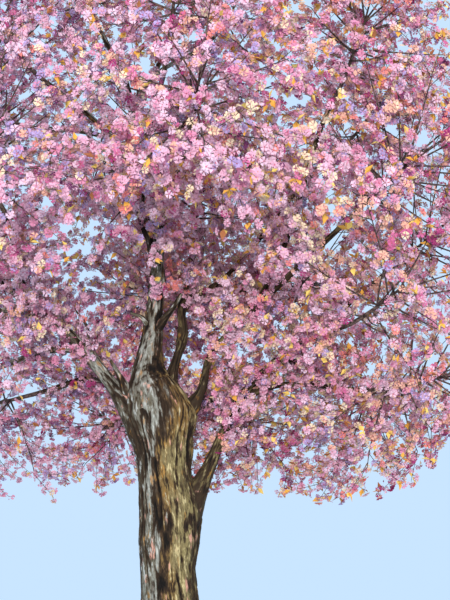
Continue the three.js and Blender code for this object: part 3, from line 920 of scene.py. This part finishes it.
# Shades of the petals, and their shares at the left and at the right of the crown. Magenta, plum and
# lavender are the crown's shade colours dealt out as petal shades: painted shade on the petals that take
# them.
PETALS = {
    "pale_pink": ((228, 190, 206), 0.21, 0.12),
    "shell_pink": ((224, 168, 188), 0.22, 0.17),
    "rose_pink": ((216, 138, 166), 0.17, 0.15),
    "deep_rose": ((200, 100, 142), 0.08, 0.07),
    # On petals, magenta, plum and lavender are painted shade.
    "magenta": ((164, 52, 108), 0.05, 0.04),
    "plum": ((122, 58, 104), 0.03, 0.02),
    "lavender": ((178, 152, 196), 0.12, 0.05),
    "peach": ((232, 174, 150), 0.05, 0.17),
    "cream": ((234, 208, 174), 0.03, 0.08),
    "salmon": ((226, 130, 120), 0.02, 0.06),
}
LEAVES = {"amber": (240, 176, 74), "gold": (252, 214, 112), "bronze": (164, 100, 60)}


def trunk_surface(height, angle):
    """The trunk's surface at a height and an angle: an oval whose size runs straight from station to
    station, with root buttresses near the ground and broad flutes all the way up."""
    shift, half_width, half_depth = (np.interp(height, TRUNK[:, 0], TRUNK[:, c]) for c in (1, 2, 3))
    roots = ROOT_SWELL * np.exp(-height / ROOT_HEIGHT) * np.cos(ROOTS * angle + ROOT_TURN)
    flutes = FLUTE_DEPTH * np.cos(FLUTES * angle + FLUTE_TURN + height / FLUTE_TWIST)
    swell = 1 + roots + flutes
    return np.stack([
        shift + half_width * swell * np.cos(angle),
        half_depth * swell * np.sin(angle),
        height + 0 * angle,
    ], axis=-1)


def from_trunk(points):
    """How far points are outside the trunk, roughly: by their distance from its middle line."""
    height = np.clip(points[..., 2], 0, TRUNK[-1, 0])
    shift = np.interp(height, TRUNK[:, 0], TRUNK[:, 1])
    angle = np.arctan2(points[..., 1], points[..., 0] - shift)
    surface = trunk_surface(height, angle)
    radius = np.hypot(surface[..., 0] - shift, surface[..., 1])
    beside = np.hypot(points[..., 0] - shift, points[..., 1]) - radius
    above = points[..., 2] - height
    return np.where(above > 0, np.hypot(np.maximum(beside, 0), above), beside)


def from_bough(points, bough):
    """How far points are outside a bough, roughly: from balls of its radius at every second middle."""
    nearest = np.full(points.shape[:-1], 9.0)
    for middle, radius in zip(bough.middles[::2], bough.radii[::2]):
        nearest = np.minimum(nearest, np.linalg.norm(points - middle, axis=-1) - radius)
    return nearest


def fillet(gap, blend):
    """How far a surface swells where another comes near it: a quarter of the blend width where they meet,
    falling by a square to nothing at the blend width."""
    return blend / 4 * np.clip(1 - np.abs(gap) / blend, 0, 1) ** 2


def furrows(grain, spacing, seed):
    """Bark relief from 0 in the furrows to 1 on the ridges. Furrows follow the zero lines of a noise that
    is stretched along the limb, and fade in and out along it. Finer cracks run beside them, and the
    ridges are broken into flakes."""
    wander = 0.6 * lattice_noise(grain * [2.2, 2.2, 1.6], seed)[..., None] * [1, 1, 0.2]
    drawn_out = grain / spacing * [1, 1, FURROW_STRETCH] + wander
    wide = 1 - smoothstep(0.03, 0.26, np.abs(lattice_noise(drawn_out, seed + 1)))
    wide = wide * smoothstep(-0.45, 0.25, lattice_noise(drawn_out * [0.7, 0.7, 1.9] + 2.6, seed + 4))
    fine = 1 - smoothstep(0.0, 0.3, np.abs(lattice_noise(drawn_out * [2.4, 2.4, 2.2] + 5.2, seed + 2)))
    fine = fine * smoothstep(-0.3, 0.4, lattice_noise(drawn_out * [1.3, 1.3, 3.1] + 8.1, seed + 5))
    flakes = lattice_noise(drawn_out * [3.3, 3.3, 7.0] + 1.7, seed + 3)
    rough = lattice_noise(drawn_out * [7.1, 7.1, 19.0], seed + 6)
    return np.clip(0.86 - 0.8 * wide - 0.4 * fine + 0.16 * flakes + 0.1 * rough, 0, 1)


def surface_normals(grid):
    """Outward normals of a grid of points that runs along a limb and round it."""
    along = np.gradient(grid, axis=0)
    around = np.roll(grid, -1, axis=1) - np.roll(grid, 1, axis=1)
    return unit(np.cross(around, along) + 1e-12)


def make_trunk(bark):
    """The trunk's surface on a grid of heights and angles, moved along its normals by the swelling towards
    its boughs and by the furrows. Rows are evenly spaced along the trunk's outline."""
    profile = np.concatenate([[0], np.cumsum(np.hypot(np.diff(TRUNK[:, 0]), np.diff(TRUNK[:, 2])))])
    rows = np.interp(np.linspace(0, profile[-1], TRUNK_ROWS), profile, TRUNK[:, 0])
    height = rows[:, None]
    angle = np.linspace(0, 2 * math.pi, TRUNK_COLUMNS, endpoint=False)[None, :]
    grid = trunk_surface(height, angle)
    normals = surface_normals(grid)
    gaps = [from_bough(grid, BOUGHS[name]) for name in MAIN_BOUGHS]
    swell = np.max([fillet(gap, FORK_BLEND) for gap in gaps], axis=0)
    twist = angle + 0.12 * height
    gone = np.linspace(0, profile[-1], TRUNK_ROWS)[:, None]
    grain = np.stack([0.28 * np.cos(twist), 0.28 * np.sin(twist), gone + 0 * twist], axis=-1)
    relief = furrows(grain, FURROW_SPACING, TRUNK_BARK_SEED)
    depth = TRUNK_FURROW_DEPTH * (relief - 0.75) * (1 - smoothstep(3.1, 3.2, height))
    moved = grid + (swell + depth)[..., None] * normals
    moved[..., 2] = np.where(height < 0.02, grid[..., 2], np.maximum(moved[..., 2], 0))
    points, triangles = closed_rings(moved[:, :, None])
    ends = [[0, 0, 0], [0, 0, TRUNK[-1, 0]]]
    # across sets the trunk on the bands by its left and right sides as seen from the front, so the bands'
    # painted light and shade fall by side.
    across = (0.5 + 0.5 * np.cos(angle)) * mix(1, 0.63, smoothstep(2.3, 2.9, height))
    across = across + 0.05 * lattice_noise(grain * [3, 3, 2.5], TRUNK_SHADE_SEED)
    piece = make_piece(
        "trunk_bark", points, triangles, [bark],
        grain=np.vstack([grain.reshape(-1, 3), ends]),
        relief=np.append(relief.ravel(), [0.3, 0.6]),
        across=np.append(across.ravel(), [0.4, 0.4]),
    )
    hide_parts("trunk")


def bough_shade(bough, radii, normals, gone):
    """Where on the bark's bands of colour a bough is: near the side of the trunk that it leaves from, and
    towards the dark end of the bands where it is thin. Across the bough it moves with the way its surface
    faces to the left or the right, so the bands' painted light and shade fall on it by side, as on the
    trunk."""
    left = bough.middles[0, 0] < LEFT_BOUGHS_BEFORE
    # Which way the surface faces sideways, which sets the painted light and shade that the bands give it.
    sideways = normals[..., 0]
    leftwards = mix(0.22 + 0.2 * sideways, 0.36 + 0.36 * sideways, np.exp(-gone / 0.5))
    shade = leftwards if left else 0.96 + 0.1 * sideways
    thin = 1 - smoothstep(*THIN_BOUGH, radii)
    return mix(shade, 0.02 if left else 1.0, 0.6 * thin)


def bough_mesh(bough, number, sides, partners):
    """A bough with its furrows, which swells where it meets the limbs that it leaves or carries."""
    rings = tube_points(bough.middles[:, None], bough.radii[:, None], sides)[:, :, 0]
    normals = surface_normals(rings)
    radii = bough.radii[:, None]
    swell = np.max([fillet(from_bough(rings, partner), SIDE_FORK_BLEND) for partner in partners], axis=0)
    swell = np.minimum(swell, MOST_SIDE_SWELL * radii)
    swell = np.maximum(swell, np.minimum(fillet(from_trunk(rings), FORK_BLEND), MOST_SWELL * radii))
    angle = np.linspace(0, 2 * math.pi, sides, endpoint=False)
    gone = np.arange(len(bough.middles))[:, None] * BOUGH_STEP
    width = np.maximum(radii, 0.03)
    grain = np.stack([width * np.cos(angle), width * np.sin(angle), gone + 5 * number + 0 * angle], axis=-1)
    relief = furrows(grain, BOUGH_FURROW_SPACING, BOUGH_BARK_SEED + number)
    seam = 1 - smoothstep(0.0, SEAM_WIDTH, from_trunk(rings))
    relief = mix(relief, np.maximum(relief, SEAM_RELIEF), seam)
    depth = BOUGH_FURROW_SHARE * radii * (relief - 0.75)
    moved = rings + (swell + depth)[..., None] * normals
    across = bough_shade(bough, radii, normals, gone)
    points, triangles = closed_rings(moved[:, :, None])
    grain = np.vstack([grain.reshape(-1, 3), grain[0].mean(0), grain[-1].mean(0)])
    relief = np.append(relief.ravel(), [0.5, 0.5])
    across = np.append(across.ravel(), [0, 0])
    return points, triangles, grain, relief, across


def make_boughs(bark):
    """The main boughs and the small limbs near the fork make one piece, and the side boughs another."""
    parents = {mass[0]: mass[3] for mass in MASSES if len(mass) > 3}
    main, side = Mesh(), Mesh()
    for number, name in enumerate(NAMES):
        children = [BOUGHS[child] for child, parent in parents.items() if parent == name]
        if name in parents:
            partners = [BOUGHS[parents[name]], *children]
            side.add(*bough_mesh(BOUGHS[name], number, SIDE_BOUGH_SIDES, partners))
        else:
            partners = children or [BOUGHS["top_left"]]
            main.add(*bough_mesh(BOUGHS[name], number, MAIN_BOUGH_SIDES, partners))
    for number, snag in enumerate(SNAG_LIMBS, len(NAMES)):
        partners = [BOUGHS["mid_left"], BOUGHS["top_left"]]
        main.add(*bough_mesh(snag, number, SIDE_BOUGH_SIDES, partners))
    for label, mesh, names in (
        ("main_bough_bark", main, MAIN_BOUGHS),
        ("side_bough_bark", side, parents),
    ):
        points, triangles, grain, relief, across = mesh.joined()
        piece = make_piece(label, points, triangles, [bark], grain=grain, relief=relief, across=across)
        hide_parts(*["bough_" + name for name in names])


# Masses are joined in these groups, so that no piece grows too large.
GROUPS = {
    "low_left": ("low_left_back", "low_back_left", "low_left", "low_left_front"),
    "low_right": ("low_back_right", "low_right", "low_right_back", "low_right_front"),
    "mid_left": ("mid_left", "mid_left_back", "mid_left_front", "mid_back"),
    "mid_right": ("mid_right_back", "mid_right_front", "mid_right", "mid_front"),
    "upper_left": ("upper_left_back", "upper_left", "upper_left_front", "upper_front"),
    "upper_right": ("upper_right", "upper_right_back", "upper_right_front", "inner_back"),
    "top": ("top_left", "top_right_back", "top_right_front", "inner_front"),
}
GROUP_OF = np.array([next(i for i, group in enumerate(GROUPS.values()) if name in group) for name in NAMES])


def add_limbs(mesh, paths, base, tip, sides):
    """Tapering limbs along paths with the same number of points, points by paths by 3."""
    radii = np.broadcast_to(np.linspace(base, tip, len(paths))[:, None], paths.shape[:2])
    mesh.add(*closed_rings(tube_points(paths, radii, sides)))


def make_twigs(material, stems, twigs, shoots, shoot_masses):
    """Stems, twigs and shoots, joined in a lower and an upper piece."""
    low = [name for label in ("low_left", "low_right", "mid_left") for name in GROUPS[label]]
    halves = {"lower_twigs": low, "upper_twigs": [name for name in NAMES if name not in low]}
    for label, names in halves.items():
        numbers = [NAMES.index(name) for name in names]
        mesh = Mesh()
        for k in numbers:
            stem = stems[k]
            mesh.add(*closed_rings(tube_points(stem.middles[::3][:, None], stem.radii[::3][:, None], 7)))
            add_limbs(mesh, np.stack(twigs[k], axis=1), TWIG_BASE, TWIG_TIP, 5)
        chosen = shoots[np.isin(shoot_masses, numbers)]
        add_limbs(mesh, chosen.swapaxes(0, 1), SHOOT_BASE, SHOOT_TIP, 3)
        points, triangles = mesh.joined()
        piece = make_piece(label, points, triangles, [material])
        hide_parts(*["blossom_" + name for name in names])


def cluster_sites(shoots, chance):
    """Places of flower clusters: every few centimetres along each shoot, turned by the golden angle. Gives
    the shoot's number, the place, and a direction that leans a little along the shoot, and most at its
    tip."""
    lengths = np.linalg.norm(np.diff(shoots, axis=1), axis=-1).sum(1)
    counts = np.maximum(1, np.round(lengths / CLUSTER_EVERY)).astype(int)
    shoot = np.repeat(np.arange(len(shoots)), counts)
    order = np.arange(len(shoot)) - np.repeat(np.cumsum(counts) - counts, counts)
    share = 1 - (order + chance.uniform(-0.3, 0.3, len(shoot)).clip(0)) * 0.9 / counts[shoot]
    place = share * SHOOT_STEPS
    i = np.minimum(place.astype(int), SHOOT_STEPS - 1)
    a, b = shoots[shoot, i], shoots[shoot, i + 1]
    heading = unit(b - a)
    across, over = square_to(heading)
    angle = GOLDEN_ANGLE * order + chance.uniform(*ANY_TURN, len(shoots))[shoot]
    direction = np.cos(angle)[:, None] * across + np.sin(angle)[:, None] * over
    direction = unit(direction + np.where(order == 0, 1.2, 0.25)[:, None] * heading)
    return shoot, mix(a, b, (place - i)[:, None]), direction


def turned(axis, spin):
    """Two directions square to each axis, turned about it by an angle."""
    across, over = square_to(axis)
    cos, sin = np.cos(spin)[:, None], np.sin(spin)[:, None]
    return cos * across + sin * over, cos * over - sin * across


def flower_shape():
    """A flower of radius 1 that faces +Z: five notched petals of two triangles, which rise to their tips,
    and a small three-cornered heart."""
    out, aside, up = np.array(PETAL_CORNERS).T
    turn = 2 * math.pi * np.arange(PETAL_COUNT)[:, None] / PETAL_COUNT
    x = out * np.cos(turn) - aside * np.sin(turn)
    y = out * np.sin(turn) + aside * np.cos(turn)
    petals = np.stack([x, y, up + 0 * turn], axis=-1).reshape(-1, 3)
    first = 4 * np.arange(PETAL_COUNT)[:, None, None]
    faces = (first + np.array([[0, 3, 2], [0, 2, 1]])).reshape(-1, 3)
    turn = 2 * math.pi * np.arange(3) / 3 + 0.5
    heart = np.stack([0.2 * np.cos(turn), 0.2 * np.sin(turn), 0.12 + 0 * turn], axis=-1)
    return np.vstack([petals, heart]), np.vstack([faces, [[20, 21, 22]]])


def bud_shape():
    """A bud of length 1 along +Z: a spindle of three sides."""
    turn = 2 * math.pi * np.arange(3) / 3
    waist = np.stack([0.3 * np.cos(turn), 0.3 * np.sin(turn), 0.45 + 0 * turn], axis=-1)
    points = np.vstack([[[0, 0, 0]], waist, [[0, 0, 1]]])
    faces = np.array([[0, 2, 1], [0, 3, 2], [0, 1, 3], [4, 1, 2], [4, 2, 3], [4, 3, 1]])
    return points, faces


def leaf_shape():
    """A leaf of length 1 along +X, whose sides fold a little up and whose tip hangs: four triangles round
    a point."""
    points = np.array([[0, 0, 0], [0.42, 0.27, 0.08], [1, 0, -0.06], [0.42, -0.27, 0.08], [0.45, 0, 0]])
    faces = np.array([[4, 0, 3], [4, 3, 2], [4, 2, 1], [4, 1, 0]])
    return points, faces


def placed(shape, places, sizes, x, y, z, jitter=None):
    """Copies of a small shape: place + size * (x * X + y * Y + z * Z), all joined as one array."""
    points, faces = shape
    local = np.broadcast_to(points, (len(places), *points.shape))
    if jitter is not None:
        local = local + jitter
    axes = np.stack([x, y, z], axis=1)
    copies = places[:, None] + sizes[:, None, None] * np.einsum("npi,nij->npj", local, axes)
    first = len(points) * np.arange(len(places))[:, None, None]
    return copies.reshape(-1, 3), (first + faces).reshape(-1, 3)


def how_far_out(points):
    """0 at the middle of the crown, 1 at its round outline."""
    scale = np.array([CROWN_HALF_WIDTH, CROWN_HALF_DEPTH, TREE_HEIGHT - CROWN_WAIST])
    return np.linalg.norm((points - CROWN_MIDDLE) / scale, axis=-1)


def deal_shades(chance, places, inside, count):
    """Petal shades dealt out by spray: shares go from the left's to the right's across the crown. Inside,
    where little light comes, the light shades are commoner and the dark ones rarer: painted light that
    makes up for the shade in the depth of the crown."""
    left, right = np.array([[a, b] for _, a, b in PETALS.values()]).T
    share = smoothstep(-2.4, 2.4, places[:, 0])[:, None]
    weights = mix(left, right, share)
    dark = np.array([name in ("deep_rose", "magenta", "plum") for name in PETALS])
    light = np.array([name in ("pale_pink", "shell_pink", "cream") for name in PETALS])
    # Painted light: pale shades are dealt more often inside the crown, and dark ones less, to make up for
    # the shade there.
    weights = weights * (1 + (light - 0.65 * dark) * inside[:, None])
    edges = np.cumsum(weights, axis=1) / weights.sum(1, keepdims=True)
    return (chance.uniform(size=(count, 1)) > edges).sum(1).clip(0, len(PETALS) - 1)


def scatter_heads(chance, shoots, masses):
    """Every flower and bud that is clear of the limbs: where its stalk leaves the shoot, its own place, the
    ways that its stalk and it face, its shade and its group. A cluster's stalks leave one place, and about
    half of a shoot's flowers keep to the shoot's main shade."""
    shoot, site, direction = cluster_sites(shoots, chance)
    # How deep inside the crown each cluster is; the painted light of deal_shades follows it.
    inside = 1 - smoothstep(*INSIDE_TO_OUTSIDE, how_far_out(site))
    shoot_inside = 1 - smoothstep(*INSIDE_TO_OUTSIDE, how_far_out(shoots[:, 2]))
    shoot_shade = deal_shades(chance, shoots[:, 2], shoot_inside, len(shoots))
    fewest, most = FLOWERS_PER_CLUSTER
    counts = chance.integers(fewest, most + 1, len(shoot))
    cluster = np.repeat(np.arange(len(shoot)), counts)
    total = len(cluster)
    outwards = unit(site - CROWN_MIDDLE)[cluster]
    scatter = unit(chance.normal(size=(total, 3)))
    stalk = unit(direction[cluster] + STALK_SCATTER * scatter + STALK_OUTWARDS * outwards)
    length = chance.uniform(*STALK_LENGTH, total)[:, None]
    head = site[cluster] + stalk * length
    scatter = unit(chance.normal(size=(total, 3)))
    axis = unit(stalk + FACES_OUTWARDS * outwards + FACING_SCATTER * scatter)
    own = deal_shades(chance, head, inside[cluster], total)
    shade = np.where(chance.uniform(size=total) < KEEPS_SHOOT_SHADE, shoot_shade[shoot[cluster]], own)
    is_bud = chance.uniform(size=total) < BUD_SHARE
    kept = clear_of_limbs(head, FLOWER_MARGIN)
    return SimpleNamespace(
        base=site[cluster][kept],
        head=head[kept],
        stalk=stalk[kept],
        axis=axis[kept],
        outwards=outwards[kept],
        shade=shade[kept],
        group=GROUP_OF[masses[shoot[cluster]]][kept],
        is_bud=is_bud[kept],
    )


def make_flowers(materials, chance, heads):
    """The flowers of each group of masses make one piece."""
    shape = flower_shape()
    shades = [materials[name] for name in [*PETALS, "heart"]]
    for number, (label, names) in enumerate(GROUPS.items()):
        chosen = (heads.group == number) & ~heads.is_bud
        axis = heads.axis[chosen]
        n = len(axis)
        x, y = turned(axis, chance.uniform(*ANY_TURN, n))
        size = chance.uniform(*FLOWER_RADIUS, n)
        jitter = chance.normal(0, PETAL_JITTER, (n, *shape[0].shape))
        points, faces = placed(shape, heads.head[chosen], size, x, y, axis, jitter)
        choice = np.repeat(heads.shade[chosen][:, None], len(shape[1]), axis=1)
        choice[:, -1] = len(PETALS)
        piece = make_piece("flowers_" + label, points, faces, shades, choice.ravel(), smooth=False)
        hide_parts(*["blossom_" + name for name in names])


def make_buds(materials, chance, heads):
    """Buds in the two darkest pinks, along their stalks."""
    shape = bud_shape()
    stalk = heads.stalk[heads.is_bud]
    n = len(stalk)
    x, y = turned(stalk, chance.uniform(*ANY_TURN, n))
    size = chance.uniform(*BUD_LENGTH, n)
    points, faces = placed(shape, heads.head[heads.is_bud], size, x, y, stalk)
    choice = np.repeat(chance.integers(0, 2, n), len(shape[1]))
    piece = make_piece("buds", points, faces, [materials["deep_rose"], materials["magenta"]], choice)


def make_stalks(materials, heads):
    """A stalk is one long triangle from the shoot to its flower's or bud's place."""
    aside = unit(np.cross(heads.head - heads.base, heads.outwards)) * STALK_HALF_WIDTH
    points = np.stack([heads.base - aside, heads.base + aside, heads.head], axis=1).reshape(-1, 3)
    faces = np.arange(len(points)).reshape(-1, 3)
    piece = make_piece("flower_stalks", points, faces, [materials["stalk"]])


def make_leaves(materials, chance, shoots):
    """Young leaves stand round the tips of the shoots, most of them at the right."""
    shape = leaf_shape()
    tips = np.repeat(shoots[:, -1], LEAVES_PER_SHOOT, axis=0)
    heading = np.repeat(unit(shoots[:, -1] - shoots[:, -2]), LEAVES_PER_SHOOT, axis=0)
    likely = mix(0.35, 0.95, smoothstep(-2.2, 1.6, tips[:, 0]))
    keep = (chance.uniform(size=len(tips)) < likely) & clear_of_limbs(tips, FLOWER_MARGIN)
    tips, heading = tips[keep], heading[keep]
    x = unit(heading * 0.7 + unit(chance.normal(size=tips.shape)))
    _, over = square_to(x)
    z = unit(over + 0.5 * chance.normal(size=tips.shape))
    y = unit(np.cross(z, x))
    z = np.cross(x, y)
    size = chance.uniform(*LEAF_LENGTH, len(tips))
    points, faces = placed(shape, tips - LEAF_SUNK * heading, size, x, y, z)
    choice = np.repeat(chance.choice(len(LEAVES), len(tips), p=LEAF_SHARES), len(shape[1]))
    shades = [materials[name] for name in LEAVES]
    piece = make_piece("young_leaves", points, faces, shades, choice, smooth=False)


def make_blossom(materials, shoots, masses):
    """Flowers, buds, their stalks and young leaves on the shoots."""
    chance = np.random.default_rng(BLOSSOM_SEED)
    heads = scatter_heads(chance, shoots, masses)
    make_flowers(materials, chance, heads)
    make_buds(materials, chance, heads)
    make_stalks(materials, heads)
    make_leaves(materials, chance, shoots)


def aim(towards):
    """The turn that points a lamp's -Z along a direction."""
    x, y, z = unit(np.array(towards, float))
    return (math.acos(-z), 0.0, math.atan2(-x, y))


def make_floor():
    """A pale round floor, just under the flat cut."""
    place = (0, 0, -FLOOR_BELOW)
    bpy.ops.mesh.primitive_circle_add(vertices=96, radius=FLOOR_RADIUS, fill_type="NGON", location=place)
    ground = bpy.context.object
    ground.name = "floor"
    ground.data.materials.append(Finish("floor", Base_Color=colour(226, 226, 222), Roughness=0.9).material)


def add_lamp(name, kind, energy, tint):
    """A lamp, and its object in the scene."""
    lamp = bpy.data.lights.new(name, kind)
    lamp.energy = energy
    lamp.color = tint
    light = bpy.data.objects.new(name, lamp)
    bpy.context.scene.collection.objects.link(light)
    return lamp, light


def make_lights():
    """A soft warm sun from above at the front right, a soft sun from the front, a little to the left and
    nearly level, and a spot from far in front that brightens the fork."""
    for name, towards, strength, tint, spread in SUNS:
        lamp, light = add_lamp(name, "SUN", strength, tint)
        lamp.angle = math.radians(spread)
        light.rotation_euler = aim(towards)
    lamp, light = add_lamp("fork_light", "SPOT", FORK_LIGHT_ENERGY, FORK_LIGHT_TINT)
    lamp.shadow_soft_size = FORK_LIGHT_SOFTNESS
    lamp.spot_size = math.radians(FORK_LIGHT_WIDTH)
    lamp.spot_blend = FORK_LIGHT_BLEND
    light.location = FORK_LIGHT_PLACE
    light.rotation_euler = (math.radians(90 + FORK_LIGHT_UPWARDS), 0, 0)


def make_sky():
    """A pale blue sky all round."""
    world = bpy.data.worlds.new("pale_sky")
    world.use_nodes = True
    sky = world.node_tree.nodes["Background"].inputs
    sky["Color"].default_value = colour(186, 212, 238)
    sky["Strength"].default_value = SKY_STRENGTH
    bpy.context.scene.world = world
    bpy.context.scene.view_settings.view_transform = "Standard"


def make_camera():
    """The camera stands low in front of the tree, a little to the right, and looks somewhat upwards."""
    lens = bpy.data.cameras.new("camera")
    lens.lens = CAMERA_LENS
    lens.sensor_width = 36
    camera = bpy.data.objects.new("camera", lens)
    camera.location = EYE
    camera.rotation_euler = (math.radians(90 + CAMERA_UPWARDS), 0, 0)
    bpy.context.scene.collection.objects.link(camera)
    bpy.context.scene.camera = camera


def make_stage():
    """All that isn't the tree."""
    make_floor()
    make_lights()
    make_sky()
    make_camera()


def kept_share(points):
    """The share of shoots that are kept, before crowding counts: all in the low middle of the crown, about
    two thirds along the underside and at the top, fewer high up, and fewest above the underside at the two
    sides, fewest of all low down at the left."""
    x, _, z = points.T
    middle = 1 - smoothstep(*MIDDLE_TO_SIDES, np.abs(x))
    low = 1 - smoothstep(*LOW_TO_HIGH, z)
    sides = mix(KEPT_UNDERNEATH, KEPT_AT_SIDES, smoothstep(*UNDERSIDE_TO_SIDES, z))
    lower_left = smoothstep(*OPEN_LEFT_FROM, x) * smoothstep(*OPEN_LEFT_BELOW, z)
    sides = sides * (1 - OPEN_LOWER_LEFT * lower_left)
    high = mix(KEPT_HIGH, KEPT_AT_TOP, smoothstep(*HIGH_TO_TOP, z))
    return mix(high, mix(sides, 1.0, middle), low)


def crowding(points):
    """How many of the points share each point's cube of the crown, over the mean of that."""
    cubes = np.floor(points / CROWD_CUBE).astype(int)
    _, cube, counts = np.unique(cubes, axis=0, return_inverse=True, return_counts=True)
    crowd = counts[cube.ravel()]
    return crowd / crowd.mean()


def grow_crown():
    """All stems and twigs, and the shoots that are kept: a share of those that stand on boughs, and a
    share of the others that is larger where they are few."""
    growth = Growth()
    stems, twigs = {}, {}
    for k in range(len(MASSES)):
        stems[k], twigs[k] = grow_mass(growth, k)
    in_masses = len(growth.shoots)
    for k in range(len(MASSES)):
        grow_bough_shoots(growth, k)
    shoots = np.array(growth.shoots)
    share = kept_share(shoots[:, 2]) / crowding(shoots[:, 2]) ** CROWD_EVENS_OUT
    chance = np.random.default_rng(KEEPING_SEED)
    kept = chance.uniform(size=len(shoots)) < share
    kept[in_masses:] = chance.uniform(size=len(shoots) - in_masses) < KEPT_ON_BOUGHS
    return shoots[kept], np.array(growth.masses)[kept], stems, twigs


def make_tree():
    """The bark of the trunk and boughs, then the crown that grows on them."""
    bark = bark_finish()
    make_trunk(bark)
    make_boughs(bark)
    shoots, masses, stems, twigs = grow_crown()
    make_twigs(twig_finish(), stems, twigs, shoots, masses)
    materials = {name: petal_finish(name, shade) for name, (shade, *_) in PETALS.items()}
    materials |= {name: petal_finish(name, shade) for name, shade in LEAVES.items()}
    materials["heart"] = petal_finish("heart", (196, 96, 118))
    materials["stalk"] = petal_finish("stalk", (128, 112, 66))
    make_blossom(materials, shoots, masses)


make_tree()
make_stage()
